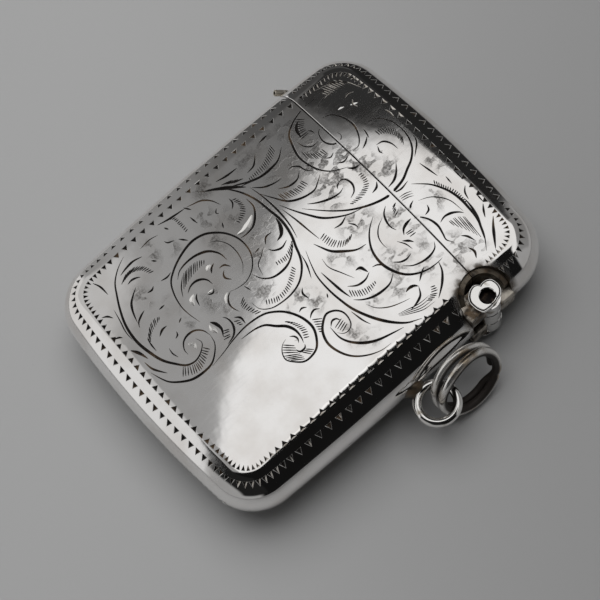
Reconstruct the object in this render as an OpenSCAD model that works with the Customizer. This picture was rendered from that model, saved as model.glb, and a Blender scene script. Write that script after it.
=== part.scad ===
// Vesta case: a pocket match safe of polished silver with a side hinged lid,
// a serrated striker let into its base and a split ring on a suspension loop.
// It lies on its back: X runs from the thumb lug to the hinge, Y from base to lid, Z up through the front.

/* [Case] */
// widest distance between the two long sides
case_w = 35.9; // [33:0.1:40]
// longest distance from the base to the end of the lid
case_l = 47; // [43:0.1:53]
// thickness between the highest points of the front and back
case_t = 11.4; // [10.8:0.1:12]
// radius of the slight outward bow of each long side
side_bow_r = 390; // [300:10:600]
// radius of the outward bow of the base and of the lid end
end_bow_r = 120; // [100:5:200]
// crown radius of the faces, across the width
crown_across_r = 240; // [200:10:320]
// crown radius of the faces, along the length
crown_along_r = 460; // [420:10:700]
// depth of the worn flat that the back rests on
rest_flat = 0.08; // [0.05:0.01:0.12]
// gauge of the silver sheet
wall = 0.6; // [0.5:0.05:0.8]

/* [Lid] */
// length of the lid, from its rim to its far end
lid_len = 10.9; // [9.5:0.1:13]
// gap between the rims of lid and body
rim_gap = 0.1; // [0.06:0.01:0.2]
// gauge of the bezel inside the mouth of the body
bezel_wall = 0.45; // [0.35:0.05:0.6]
// depth of the bezel inside the body
bezel_depth = 2.4; // [1.5:0.1:4]
// height of the bezel above the rim of the body
bezel_rise = 0.9; // [0.5:0.1:1.5]
// clearance between the bezel and the inside of the lid
bezel_clear = 0.3; // [0.25:0.05:0.5]

/* [Hinge] */
// distance of the hinge axis inside the widest outline
hinge_inset = 1.05; // [0.8:0.05:1.3]
// outside radius of the knuckles
knuckle_r = 1.4; // [1.25:0.05:1.5]
// radius of the hinge pin
pin_r = 0.85; // [0.7:0.05:0.95]
// radial running clearance of the pin in the lid knuckle
pin_clear = 0.05; // [0.03:0.01:0.1]
// depth of the pin end below the mouth of the tube
pin_recess = 1.2; // [0.5:0.1:2]
// distance of each end of the hinge tube from the front or back
tube_drop = 1.3; // [1:0.1:2]
// length of the knuckle at each end, fixed to the body
end_knuckle_len = 3; // [2.6:0.1:3.2]
// axial gap between the lid knuckle and each end knuckle
knuckle_gap = 0.08; // [0.05:0.01:0.15]
// radius of the scooped recess round the hinge
scoop_r = 3; // [2.7:0.1:3.2]
// gauge of the curved seat that lines the recess
seat_wall = 0.5; // [0.4:0.05:0.6]
// reach of the knuckle lugs towards the middle of the case
lug_in = 1.9; // [1.5:0.1:2.2]
// reach of the knuckle lugs towards the outside
lug_out = 0.9; // [0.6:0.1:1.1]

/* [Thumb lug] */
// reach of the lug beyond the side of the lid, to the middle of its bead
lug_reach = 0.9; // [0.7:0.1:1.5]
// thickness of the lug along the rim
lug_w = 1; // [0.8:0.1:1.2]
// height of the lug, through the thickness of the case
lug_h = 2.6; // [2:0.1:4]
// radius of the bead at the tip of the lug
bead_r = 0.7; // [0.65:0.05:0.9]
// distance of the bead from the rim of the lid
bead_gap = 0.05; // [0.03:0.01:0.2]

/* [Striker] */
// length of the serrated strip across the base
striker_w = 27; // [22:0.5:29]
// height of the strip, through the thickness of the case
striker_h = 4; // [3:0.1:4.4]
// level of the middle of the strip above the rest plane
striker_z = 3.9; // [3.4:0.1:5.6]
// depth of the strip in the wall
striker_depth = 0.35; // [0.25:0.05:0.4]
// spacing of the saw cuts
rib_pitch = 0.9; // [0.7:0.05:1.4]
// width of each saw cut
rib_cut = 0.4; // [0.3:0.05:0.5]
// depth of each saw cut
rib_depth = 0.18; // [0.1:0.02:0.22]

/* [Loop and ring] */
// radius of the loop, to the middle of its wire
loop_r = 2.2; // [2:0.05:2.6]
// radius of the wire of the loop
loop_wire_r = 0.55; // [0.45:0.05:0.6]
// distance of the middle of the loop beyond the side
loop_out = 2.85; // [2.8:0.05:3.4]
// position of the loop along the side
loop_y = 1.4; // [-4:0.1:3]
// level of the loop above the rest plane
loop_z = 5.3; // [5:0.1:5.7]
// radius of the solder foot of the loop
foot_r = 1.2; // [0.9:0.1:1.4]
// shift of the foot towards the base
foot_shift = 1; // [0.6:0.1:1.4]
// radius of the split ring, to the middle of its wire
ring_r = 3.85; // [3.6:0.05:4.2]
// radial thickness of the wire of the ring
ring_radial = 1; // [0.9:0.05:1.1]
// thickness of one coil of the ring, along its axis
coil_t = 0.76; // [0.7:0.02:0.8]
// overlap of the two coils
coil_lap = 0.04; // [0.02:0.01:0.08]
// lean of the ring towards the case
ring_lean = 21; // [15:1:25]
// distance of the ring towards the lid from the middle of the loop
ring_along = 4.1; // [4:0.05:4.2]
// distance of the middle of the ring beyond the side
ring_out = 3; // [2.9:0.05:3.2]
// clearance under the ring
ring_lift = 0.02; // [0.01:0.01:0.1]
// gap at each cut end of the wire
ring_slit = 8; // [5:1:14]

/* [Hidden] */
$fn = 96;

half_w = case_w / 2;
half_l = case_l / 2;
round_r = case_t / 2;
mid_z = round_r - rest_flat;
front_z = mid_z + round_r;
rim_y = half_l - lid_len;
body_rim_y = rim_y - rim_gap / 2;
lid_rim_y = rim_y + rim_gap / 2;

// the edge is a full round: it follows the bowed sides and ends, and turns each corner about a ball
// whose centre lies where the two bowed centre lines cross
side_c = half_w - side_bow_r;
end_c = half_l - end_bow_r;
side_k = side_bow_r - round_r;
end_k = end_bow_r - round_r;
span = norm([side_c, end_c]);
along = (side_k * side_k - end_k * end_k + span * span) / (2 * span);
across = sqrt(side_k * side_k - along * along);
unit_x = -side_c / span;
unit_y = end_c / span;
corner_x = side_c + along * unit_x - across * unit_y;
corner_y = along * unit_y + across * unit_x;
corner_from = atan2(corner_y, corner_x - side_c);
corner_to = atan2(corner_y - end_c, corner_x);

// each corner is made of straight rounds, one for each of these steps of its turn
corner_steps = [0.25, 0.5, 0.75];

// every rounded edge is backed by a slab that rises past the crowned faces
slab_lap = 0.35;
slab_rise = 1;
slab_depth = 65;
side_sweep = 5;
end_sweep = 20;

// the crowned faces are slices of large ring shaped solids, drawn with many steps
crown_slab = 30;
crown_half_w = 24;
crown_ang = 4;
fine = 1440;

// boxes that part the lid from the body and the front from the back
zone = 80;

hinge_x = half_w - hinge_inset;
hinge_y = rim_y;
tube_top = front_z - tube_drop;
tube_base = tube_drop - rest_flat;
tube_len = tube_top - tube_base;
lid_knuckle_len = tube_len - 2 * end_knuckle_len - 2 * knuckle_gap;
lid_knuckle_z = tube_base + end_knuckle_len + knuckle_gap;
front_knuckle_z = tube_top - end_knuckle_len;
seat_r = scoop_r + seat_wall;

loop_x = half_w + loop_out;
ring_x = half_w + ring_out;
ring_y = loop_y + ring_along;
coil_shift = (coil_t - coil_lap) / 2;
coil_edge = coil_t / 2;
coil_flat = ring_radial - coil_t;
ring_z = (ring_r + coil_flat / 2) * cos(ring_lean) + coil_shift * sin(ring_lean) + coil_edge + ring_lift;
slit_turn = 40;

silver = [0.86, 0.85, 0.83];
worn = [0.7, 0.68, 0.64];
dark = [0.42, 0.39, 0.35];

// section of a slab with a rounded edge that reaches out to edge_r
module edge_section(edge_r, inset) {
  translate([edge_r - slab_depth, -round_r - slab_rise])
    square([slab_depth - round_r + slab_lap, 2 * round_r + 2 * slab_rise]);
  translate([edge_r - round_r, 0])
    circle(r = round_r - inset, $fn = 96);
}

module bowed_slab(centre, arc_r, sweep, inset) {
  translate([centre, 0, mid_z])
    rotate([0, 0, -sweep])
      rotate_extrude(angle = 2 * sweep, $fn = fine)
        edge_section(arc_r, inset);
}

module corner_slab(turn, inset) {
  translate([0, 0, mid_z])
    rotate([0, 0, turn])
      rotate([90, 0, 0])
        translate([0, 0, -slab_depth])
          linear_extrude(height = 2 * slab_depth)
            edge_section(corner_x * cos(turn) + corner_y * sin(turn) + round_r, inset);
}

module corner_slabs(step, inset) {
  turn = corner_from + (corner_to - corner_from) * step;
  intersection() {
    corner_slab(turn, inset);
    rotate([0, 0, 180])
      corner_slab(turn, inset);
    mirror([1, 0, 0])
      corner_slab(turn, inset);
    mirror([0, 1, 0])
      corner_slab(turn, inset);
  }
}

module front_crown(inset) {
  translate([0, 0, front_z - crown_along_r])
    rotate([0, -90, 0])
      rotate([0, 0, -crown_ang])
        rotate_extrude(angle = 2 * crown_ang, $fn = fine)
          intersection() {
            translate([crown_along_r - crown_across_r, 0])
              circle(r = crown_across_r - inset, $fn = fine);
            translate([crown_along_r - crown_slab, -crown_half_w])
              square([crown_slab, 2 * crown_half_w]);
          }
}

// the cushion form of the case, drawn in from its skin by inset
module cushion(inset) {
  intersection() {
    front_crown(inset);
    translate([0, 0, 2 * mid_z])
      mirror([0, 0, 1])
        front_crown(inset);
    bowed_slab(side_c, side_bow_r, side_sweep, inset);
    rotate([0, 0, 180])
      bowed_slab(side_c, side_bow_r, side_sweep, inset);
    rotate([0, 0, 90])
      bowed_slab(end_c, end_bow_r, end_sweep, inset);
    rotate([0, 0, -90])
      bowed_slab(end_c, end_bow_r, end_sweep, inset);
    corner_slabs(corner_steps[0], inset);
    corner_slabs(corner_steps[1], inset);
    corner_slabs(corner_steps[2], inset);
  }
}

module case_shell() {
  difference() {
    cushion(0);
    cushion(wall);
  }
}

module body_zone() {
  translate([-zone / 2, body_rim_y - zone, -zone / 2])
    cube(zone);
}

module lid_zone() {
  translate([-zone / 2, lid_rim_y, -zone / 2])
    cube(zone);
}

module front_zone() {
  translate([-zone / 2, -zone / 2, mid_z])
    cube(zone);
}

module back_zone() {
  translate([-zone / 2, -zone / 2, 0])
    cube([zone, zone, mid_z]);
}

module hinge_post(post_r) {
  translate([hinge_x, hinge_y, -case_t])
    cylinder(r = post_r, h = 3 * case_t);
}

module striker_bed() {
  intersection() {
    difference() {
      cushion(0);
      cushion(striker_depth);
    }
    translate([-striker_w / 2, -case_l, striker_z - striker_h / 2])
      cube([striker_w, case_l, striker_h]);
  }
}

module body_shell() {
  intersection() {
    difference() {
      case_shell();
      hinge_post(seat_r);
    }
    body_zone();
  }
}

module lid_shell() {
  intersection() {
    difference() {
      case_shell();
      hinge_post(seat_r);
    }
    lid_zone();
  }
}

module hinge_seat() {
  intersection() {
    cushion(0);
    difference() {
      hinge_post(seat_r);
      hinge_post(scoop_r);
    }
    translate([-zone / 2, -zone / 2, 0])
      cube(zone);
  }
}

// a length of hinge tube with a lug towards the body or the lid
module knuckle(base_z, length, bore_r, side) {
  difference() {
    union() {
      translate([hinge_x, hinge_y, base_z])
        cylinder(r = knuckle_r, h = length);
      intersection() {
        translate([hinge_x - lug_in, hinge_y + (side > 0 ? rim_gap / 2 : -scoop_r - seat_wall), base_z])
          cube([lug_in + lug_out, scoop_r + seat_wall - rim_gap / 2, length]);
        hinge_post(scoop_r);
      }
    }
    translate([hinge_x, hinge_y, base_z - length])
      cylinder(r = bore_r, h = 3 * length);
  }
}

module body_front_shell() {
  color(silver)
    difference() {
      intersection() {
        body_shell();
        front_zone();
      }
      striker_bed();
    }
}

module body_back_shell() {
  color(silver)
    difference() {
      intersection() {
        body_shell();
        back_zone();
      }
      striker_bed();
    }
}

// a length of the form between two levels along the case
module cushion_length(inset, from_y, to_y) {
  intersection() {
    cushion(inset);
    translate([-zone / 2, from_y, -zone / 2])
      cube([zone, to_y - from_y, zone]);
  }
}

module mouth_bezel() {
  color(worn)
    difference() {
      union() {
        difference() {
          cushion_length(wall, body_rim_y - bezel_depth, body_rim_y);
          hinge_post(seat_r);
        }
        difference() {
          cushion_length(wall + bezel_clear, body_rim_y - bezel_depth / 2, body_rim_y + bezel_rise);
          hinge_post(seat_r + bezel_clear);
        }
      }
      cushion(wall + bezel_clear + bezel_wall);
    }
}

module striker_strip() {
  ribs = floor((striker_w - rib_pitch) / rib_pitch);
  color(worn)
    difference() {
      striker_bed();
      intersection() {
        difference() {
          cushion(0);
          cushion(rib_depth);
        }
        union() {
          for (i = [0 : ribs - 1])
            translate([(i - (ribs - 1) / 2) * rib_pitch - rib_cut / 2, -case_l, striker_z - striker_h / 2])
              cube([rib_cut, case_l, striker_h]);
        }
      }
    }
}

module body_hinge_seat() {
  color(worn)
    intersection() {
      hinge_seat();
      body_zone();
    }
}

module lid_hinge_seat() {
  color(worn)
    intersection() {
      hinge_seat();
      lid_zone();
    }
}

module body_knuckle_front() {
  color(silver)
    knuckle(front_knuckle_z, end_knuckle_len, pin_r, -1);
}

module body_knuckle_back() {
  color(silver)
    knuckle(tube_base, end_knuckle_len, pin_r, -1);
}

module lid_knuckle() {
  color(silver)
    knuckle(lid_knuckle_z, lid_knuckle_len, pin_r + pin_clear, 1);
}

module hinge_pin() {
  color(dark)
    translate([hinge_x, hinge_y, tube_base + pin_recess])
      cylinder(r = pin_r, h = tube_len - 2 * pin_recess);
}

module loop_wire() {
  translate([loop_x, loop_y, loop_z])
    rotate_extrude()
      translate([loop_r, 0])
        circle(r = loop_wire_r);
}

module loop_foot() {
  color(dark)
    difference() {
      translate([half_w - foot_r, loop_y - foot_shift, loop_z])
        rotate([0, 90, 0])
          cylinder(r = foot_r, h = foot_r + loop_out - loop_r);
      bowed_slab(side_c, side_bow_r, side_sweep, 0);
      loop_wire();
    }
}

module suspension_loop() {
  color(silver)
    loop_wire();
}

module lid_front_shell() {
  color(silver)
    intersection() {
      lid_shell();
      front_zone();
    }
}

module lid_back_shell() {
  color(silver)
    intersection() {
      lid_shell();
      back_zone();
    }
}

module thumb_lug() {
  bead_y = lid_rim_y + bead_gap + bead_r;
  seat_turn = asin(bead_y / side_k);
  color(silver)
    difference() {
      union() {
        translate([-half_w - lug_reach, bead_y - lug_w / 2, mid_z - lug_h / 2])
          cube([2 * lug_reach, lug_w, lug_h]);
        translate([-half_w - lug_reach, bead_y, mid_z - lug_h / 2])
          cylinder(r = bead_r, h = lug_h);
      }
      translate([-side_c - side_k * cos(seat_turn), bead_y, mid_z])
        rotate([90, 0, -seat_turn])
          cylinder(r = round_r, h = case_l, center = true);
    }
}

module coil_profile() {
  translate([ring_r - coil_flat / 2, -coil_edge])
    square([coil_flat, coil_t]);
  translate([ring_r - coil_flat / 2, 0])
    circle(r = coil_edge);
  translate([ring_r + coil_flat / 2, 0])
    circle(r = coil_edge);
}

// two flat coils of one wire, each with a cut end
module split_ring() {
  color(worn)
    translate([ring_x, ring_y, ring_z])
      rotate([0, 90 - ring_lean, 0]) {
        translate([0, 0, coil_shift])
          rotate_extrude(angle = 360 - ring_slit)
            coil_profile();
        translate([0, 0, -coil_shift])
          rotate([0, 0, slit_turn])
            rotate_extrude(angle = 360 - ring_slit)
              coil_profile();
      }
}

body_front_shell();
body_back_shell();
mouth_bezel();
striker_strip();
body_hinge_seat();
body_knuckle_front();
body_knuckle_back();
hinge_pin();
loop_foot();
suspension_loop();
lid_front_shell();
lid_back_shell();
lid_hinge_seat();
lid_knuckle();
thumb_lug();
split_ring();
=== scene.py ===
"""Dresses the vesta case: engraved silver shells, hinge, striker, loop and split ring, in the frame of its solids."""

import logging
import math
from dataclasses import dataclass, field
from enum import Enum, IntEnum
from typing import Any, Callable, Iterator, Sequence

import bpy
import numpy as np
from mathutils import Matrix, Vector
from mathutils.geometry import delaunay_2d_cdt


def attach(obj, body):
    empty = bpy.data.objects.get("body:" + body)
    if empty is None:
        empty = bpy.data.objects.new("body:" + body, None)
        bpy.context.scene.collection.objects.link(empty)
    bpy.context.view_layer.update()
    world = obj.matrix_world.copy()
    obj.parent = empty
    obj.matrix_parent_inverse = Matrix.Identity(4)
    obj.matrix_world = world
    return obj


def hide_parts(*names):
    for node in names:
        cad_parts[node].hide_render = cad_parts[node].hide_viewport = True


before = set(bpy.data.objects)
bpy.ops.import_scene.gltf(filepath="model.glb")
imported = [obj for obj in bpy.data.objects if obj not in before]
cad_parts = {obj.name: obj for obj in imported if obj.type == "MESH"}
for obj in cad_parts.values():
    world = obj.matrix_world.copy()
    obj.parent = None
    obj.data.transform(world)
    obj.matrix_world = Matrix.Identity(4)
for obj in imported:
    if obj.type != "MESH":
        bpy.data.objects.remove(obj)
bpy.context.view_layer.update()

MM = 0.001
LOG = logging.getLogger("vesta_case")
Pair = tuple[float, float]
Triple = tuple[float, float, float]
Shade = tuple[float, float, float, float]
Patch = tuple[float, float, float, float]
Run = tuple[np.ndarray, ...]
Panel = tuple[np.ndarray, list[Sequence[int]], list[int], np.ndarray, np.ndarray]


class Member(Enum):
    """The two halves that the hinge joins."""

    BODY = "body"
    LID = "lid"

    @property
    def sign(self) -> int:
        """1 for the lid, which lies beyond the lid line, and -1 for the body."""
        return 1 if self is Member.LID else -1


class Side(Enum):
    """The engraved front or the plain back."""

    FRONT = 1
    BACK = -1


def both_ways(operation: str) -> tuple[Callable[["Sock", Any], "Sock"], Callable[["Sock", Any], "Sock"]]:
    """An operator of Sock and its reflected form."""
    return (lambda own, other: own.maths(operation, own, other)), (lambda own, other: own.maths(operation, other, own))


class Sock:
    """A socket that takes part in Python expressions; each operator adds one Math node."""

    def __init__(self, tree: bpy.types.NodeTree, socket: bpy.types.NodeSocket) -> None:
        """Keeps the socket and the tree that it is in."""
        self.tree = tree
        self.socket = socket

    def maths(self, operation: str, *values: Any) -> "Sock":
        """Adds a Math node.

        Args:
            operation: The node's operation.
            values: Numbers or Socks for its inputs, in order.

        Returns:
            The node's output.
        """
        node = self.tree.nodes.new("ShaderNodeMath")
        node.operation = operation
        for slot, value in zip(node.inputs, values):
            if isinstance(value, Sock):
                self.tree.links.new(value.socket, slot)
            else:
                slot.default_value = value
        return Sock(self.tree, node.outputs[0])

    __add__, __radd__ = both_ways("ADD")
    __sub__, __rsub__ = both_ways("SUBTRACT")
    __mul__, __rmul__ = both_ways("MULTIPLY")
    __pow__, __rpow__ = both_ways("POWER")

    def least(self, other: Any) -> "Sock":
        """The smaller of the two."""
        return self.maths("MINIMUM", self, other)

    def rise(self, low: float, high: float) -> "Sock":
        """A smooth step from 0 at low to 1 at high.

        Args:
            low: Value at which the step starts.
            high: Value at which the step ends; it may be below low.

        Returns:
            The step, between 0 and 1.
        """
        node = self.tree.nodes.new("ShaderNodeMapRange")
        node.interpolation_type = "SMOOTHSTEP"
        flip = low > high
        node.inputs["From Min"].default_value = min(low, high)
        node.inputs["From Max"].default_value = max(low, high)
        node.inputs["To Min"].default_value = 1.0 if flip else 0.0
        node.inputs["To Max"].default_value = 0.0 if flip else 1.0
        self.tree.links.new(self.socket, node.inputs["Value"])
        return Sock(self.tree, node.outputs["Result"])


class NodeBook:
    """Adds nodes to one tree."""

    def __init__(self, tree: bpy.types.NodeTree) -> None:
        """Starts with an empty tree."""
        self.tree = tree
        tree.nodes.clear()

    def node(self, kind: str, settings: dict[str, Any], inputs: dict[Any, Any]) -> bpy.types.Node:
        """Adds a node of any type.

        Args:
            kind: The node's type.
            settings: Its own settings, which are set first.
            inputs: Values or Socks for its inputs, by name or number.

        Returns:
            The node.
        """
        node = self.tree.nodes.new(kind)
        for name, value in settings.items():
            setattr(node, name, value)
        for name, value in inputs.items():
            if isinstance(value, Sock):
                self.tree.links.new(value.socket, node.inputs[name])
            else:
                node.inputs[name].default_value = value
        return node

    def out(self, node: bpy.types.Node, name: Any = 0) -> Sock:
        """One output of a node, for use in expressions."""
        return Sock(self.tree, node.outputs[name])

    def place(self) -> Sock:
        """The position on the object at rest, in metres."""
        return self.out(self.node("ShaderNodeTexCoord", {}, {}), "Object")

    def noise(self, scale: float, detail: float = 3.0, rough: float = 0.5, at: Sock | None = None) -> Sock:
        """Noise between 0 and 1.

        Args:
            scale: Grains in a metre.
            detail: Number of octaves.
            rough: Weight of the finer octaves.
            at: Where it is read; the object's own place if left out.

        Returns:
            The noise value.
        """
        node = self.node(
            "ShaderNodeTexNoise",
            {},
            {"Vector": at or self.place(), "Scale": scale, "Detail": detail, "Roughness": rough},
        )
        return self.out(node, "Fac")

    def blend(self, factor: Any, low: Any, high: Any) -> Sock:
        """A mix of two colours.

        Args:
            factor: Share of the second colour.
            low: First colour, four numbers or a Sock.
            high: Second colour.

        Returns:
            The mixed colour.
        """
        node = self.node("ShaderNodeMix", {"data_type": "RGBA"}, {0: factor, 6: low, 7: high})
        return self.out(node, 2)

    def scaled(self, vector: Sock, factors: Triple) -> Sock:
        """A vector with each part multiplied by its own factor."""
        return self.out(self.node("ShaderNodeVectorMath", {"operation": "MULTIPLY"}, {0: vector, 1: factors}))

    def parts(self, vector: Sock) -> tuple[Sock, Sock, Sock]:
        """The three parts of a vector."""
        node = self.node("ShaderNodeSeparateXYZ", {}, {0: vector})
        return self.out(node, 0), self.out(node, 1), self.out(node, 2)

    def attribute(self, name: str) -> Sock:
        """A number that the mesh carries at its points."""
        return self.out(self.node("ShaderNodeAttribute", {"attribute_name": name}, {}), "Fac")

    def bump(self, height: Sock, strength: float, distance: float) -> Sock:
        """A normal that follows a height.

        Args:
            height: The height, between 0 and 1.
            strength: Strength of the bump.
            distance: Height in metres that 1 stands for.

        Returns:
            The normal.
        """
        node = self.node("ShaderNodeBump", {}, {"Height": height, "Strength": strength, "Distance": distance})
        return self.out(node)

    def surface(self, **inputs: Any) -> None:
        """Ends the tree in one Principled shader.

        Args:
            inputs: Values or Socks; an underscore stands for a space.
        """
        named = {name.replace("_", " "): value for name, value in inputs.items()}
        shader = self.node("ShaderNodeBsdfPrincipled", {}, named)
        self.node("ShaderNodeOutputMaterial", {}, {"Surface": self.out(shader)})


def grey(level: float) -> Shade:
    """A grey of one linear level."""
    return (level, level, level, 1.0)


class Finish:
    """A material that is made once and shared by the pieces that wear it."""

    name = "finish"

    def material(self) -> bpy.types.Material:
        """Makes the material, or returns the one already made.

        Returns:
            The material.
        """
        made = bpy.data.materials.get(self.name)
        if made is None:
            made = bpy.data.materials.new(self.name)
            made.use_nodes = True
            self.shade(NodeBook(made.node_tree))
        return made

    def shade(self, book: NodeBook) -> None:
        """Fills the node tree; each finish has its own."""
        raise NotImplementedError


@dataclass(frozen=True)
class PolishedSilver(Finish):
    """Bright silver with fine wipe marks, and smudged ground where the mesh says so."""

    name = "bright_sheet"
    metal: Shade = (0.96, 0.945, 0.93, 1.0)
    worn: Shade = (0.83, 0.8, 0.77, 1.0)
    smudge: Shade = (0.18, 0.17, 0.16, 1.0)
    old: Shade = (0.1, 0.08, 0.06, 1.0)

    def shade(self, book: NodeBook) -> None:
        """Fills the node tree.

        Args:
            book: The tree.
        """
        ground = book.attribute("ground")
        blotch = book.noise(1250.0, 1.0, 0.4, book.scaled(book.place(), (1.0, 0.6, 1.0))).rise(0.47, 0.52)
        stain = book.attribute("stain") * (0.35 + 0.65 * book.noise(800.0, 3.0).rise(0.35, 0.55))
        stipple = book.noise(4200.0, 2.0, 0.6).rise(0.35, 0.65)
        dirt = (ground * (0.12 + 0.88 * blotch) * (0.45 + 0.55 * stipple)).least(1.0)
        wipe = book.noise(2600.0, 3.0, 0.6, book.scaled(book.place(), (1.0, 0.12, 1.0)))
        dull = book.noise(170.0, 2.0)
        rough = 0.05 + 0.03 * wipe.rise(0.45, 0.8) + 0.03 * dull.rise(0.4, 0.8) + 0.2 * dirt + 0.3 * stain
        dents = book.noise(420.0, 2.0) * 0.6 + wipe * 0.04 + dirt * 0.4
        metal = book.blend(book.noise(240.0, 4.0).rise(0.35, 0.75), self.metal, self.worn)
        book.surface(
            Base_Color=book.blend(stain, book.blend(dirt * 0.9, metal, self.smudge), self.old),
            Metallic=1.0,
            Roughness=rough,
            Normal=book.bump(dents, 0.2, 0.00004),
        )


@dataclass(frozen=True)
class GraverCut(Finish):
    """An engraved cut: bright at its edges, and dark with old polish and tarnish on its floor."""

    name = "graver_cut"
    metal: Shade = (0.9, 0.88, 0.85, 1.0)
    black: Shade = (0.014, 0.012, 0.011, 1.0)
    brown: Shade = (0.1, 0.068, 0.042, 1.0)

    def shade(self, book: NodeBook) -> None:
        """Fills the node tree.

        Args:
            book: The tree.
        """
        deep = book.attribute("floor").rise(0.0, 0.2)
        stain = book.noise(330.0, 3.0).rise(0.54, 0.7)
        book.surface(
            Base_Color=book.blend(deep, self.metal, book.blend(stain, self.black, self.brown)),
            Metallic=1.0 - 0.6 * deep,
            Roughness=0.2 + 0.25 * deep + 0.15 * stain,
        )


@dataclass(frozen=True)
class LitCut(Finish):
    """The side of a cut that faces the light, painted pale as a painted highlight, with dirt towards its floor."""

    name = "lit_cut"
    clean: Shade = (0.6, 0.57, 0.53, 1.0)
    dull: Shade = (0.4, 0.36, 0.31, 1.0)
    dirt: Shade = (0.05, 0.042, 0.036, 1.0)

    def shade(self, book: NodeBook) -> None:
        """Fills the node tree.

        Args:
            book: The tree.
        """
        # Painted highlight: a pale colour with grain, with dirt towards the floor of the cut.
        grain = book.noise(2200.0, 2.0).rise(0.4, 0.7)
        deep = book.attribute("floor").rise(0.5, 0.95)
        book.surface(
            Base_Color=book.blend(deep, book.blend(grain, self.clean, self.dull), self.dirt),
            Metallic=0.25,
            Roughness=0.3 + 0.12 * grain,
        )


@dataclass(frozen=True)
class DullSilver(Finish):
    """Unpolished silver inside the case, on the bezel and on the thumb lug."""

    name = "dull_silver"
    metal: Shade = (0.74, 0.71, 0.65, 1.0)
    hazy: Shade = (0.55, 0.5, 0.42, 1.0)

    def shade(self, book: NodeBook) -> None:
        """Fills the node tree.

        Args:
            book: The tree.
        """
        haze = book.noise(260.0, 4.0, 0.6).rise(0.35, 0.7)
        draw = book.noise(1400.0, 2.0, 0.5, book.scaled(book.place(), (1.0, 0.1, 1.0)))
        book.surface(
            Base_Color=book.blend(haze, self.metal, self.hazy),
            Metallic=1.0,
            Roughness=0.28 + 0.16 * haze,
            Normal=book.bump(draw, 0.2, 0.00003),
        )


@dataclass(frozen=True)
class TarnishedSilver(Finish):
    """Silver that the polishing cloth does not reach, brown and black in patches."""

    name: str = "old_tarnish"
    bare: Shade = (0.5, 0.46, 0.4, 1.0)
    black: Shade = (0.03, 0.026, 0.022, 1.0)
    brown: Shade = (0.16, 0.115, 0.075, 1.0)

    def shade(self, book: NodeBook) -> None:
        """Fills the node tree.

        Args:
            book: The tree.
        """
        patch = book.noise(520.0, 4.0, 0.62).rise(0.42, 0.6)
        dark = book.blend(book.noise(900.0, 3.0).rise(0.4, 0.65), self.black, self.brown)
        book.surface(
            Base_Color=book.blend(patch, dark, self.bare),
            Metallic=0.75,
            Roughness=0.5 - 0.22 * patch,
            Normal=book.bump(book.noise(2400.0, 3.0), 0.5, 0.00004),
        )


SEAT_TARNISH = TarnishedSilver("seat_tarnish", (0.13, 0.11, 0.085, 1.0))


@dataclass(frozen=True)
class BlackGrimeAndShade(Finish):
    """Near-black: old dirt in the groove of the hinge's end plates, and painted shade with some dirt on the pin, in the
    hinge tube and in the hollow of the lug.
    """

    name = "black_grime_and_shade"
    dirt: Shade = (0.006, 0.005, 0.005, 1.0)
    crust: Shade = (0.05, 0.035, 0.024, 1.0)

    def shade(self, book: NodeBook) -> None:
        """Fills the node tree.

        Args:
            book: The tree.
        """
        # Near black with a brown crust: dirt, and painted shade where it lines a hole.
        crust = book.noise(1800.0, 3.0).rise(0.45, 0.75)
        shade = book.blend(crust, self.dirt, self.crust)
        book.surface(Base_Color=shade, Roughness=0.7 - 0.2 * crust, Specular_IOR_Level=0.2)


@dataclass(frozen=True)
class RubbedSilver(Finish):
    """Worn silver of the loop, the hinge and the striker: bright on top, with grime in fine scratches."""

    name = "rubbed_silver"
    metal: Shade = (0.9, 0.885, 0.86, 1.0)
    grime: Shade = (0.42, 0.38, 0.32, 1.0)

    def shade(self, book: NodeBook) -> None:
        """Fills the node tree.

        Args:
            book: The tree.
        """
        scratch = book.noise(3800.0, 2.0, 0.5, book.scaled(book.place(), (1.0, 1.0, 0.15))).rise(0.55, 0.75)
        grime = book.noise(700.0, 3.0).rise(0.58, 0.75)
        book.surface(
            Base_Color=book.blend(grime, self.metal, self.grime),
            Metallic=1.0,
            Roughness=0.08 + 0.05 * scratch + 0.16 * grime,
            Normal=book.bump(scratch * 0.3 + book.noise(600.0, 2.0) * 0.7, 0.12, 0.00003),
        )


@dataclass(frozen=True)
class WornWire(Finish):
    """Ring wire: metal with brown patches on the outside of the wire, black towards the inside of the ring, partly
    grime and partly painted shade.
    """

    name = "worn_wire"
    metal: Shade = (0.8, 0.78, 0.75, 1.0)
    brown: Shade = (0.4, 0.33, 0.25, 1.0)
    black: Shade = (0.03, 0.025, 0.022, 1.0)

    def shade(self, book: NodeBook) -> None:
        """Fills the node tree.

        Args:
            book: The tree.
        """
        worn = book.attribute("worn")
        patch = book.noise(420.0, 3.0).rise(0.48, 0.68)
        # The lit outer part of the wire; the inside is painted black, as painted shade with some grime.
        lit_part = book.blend(patch, self.metal, self.brown)
        book.surface(
            Base_Color=book.blend(worn.rise(0.4, 0.8), self.black, lit_part),
            Metallic=0.4 + 0.6 * worn,
            Roughness=0.5 - 0.38 * worn.rise(0.3, 0.8) + 0.12 * patch,
            Normal=book.bump(book.noise(900.0, 3.0), 0.2, 0.00004),
        )


@dataclass(frozen=True)
class TableTop(Finish):
    """The plain pale table, painted darker towards the right as painted shade, with a few specks."""

    name = "table_top"
    light: Shade = grey(0.36)
    dark: Shade = grey(0.26)
    speck: Shade = grey(0.2)

    def shade(self, book: NodeBook) -> None:
        """Fills the node tree.

        Args:
            book: The tree.
        """
        across, along, _ = book.parts(book.place())
        # Painted shade: the table's colour darkens towards the right.
        painted_falloff = (across * 0.66 + along * 0.75).rise(-0.035, 0.05)
        fleck = book.noise(2600.0, 2.0).rise(0.68, 0.78)
        book.surface(
            Base_Color=book.blend(fleck * 0.12, book.blend(painted_falloff, self.light, self.dark), self.speck),
            Roughness=0.55,
            Specular_IOR_Level=0.25,
        )


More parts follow.
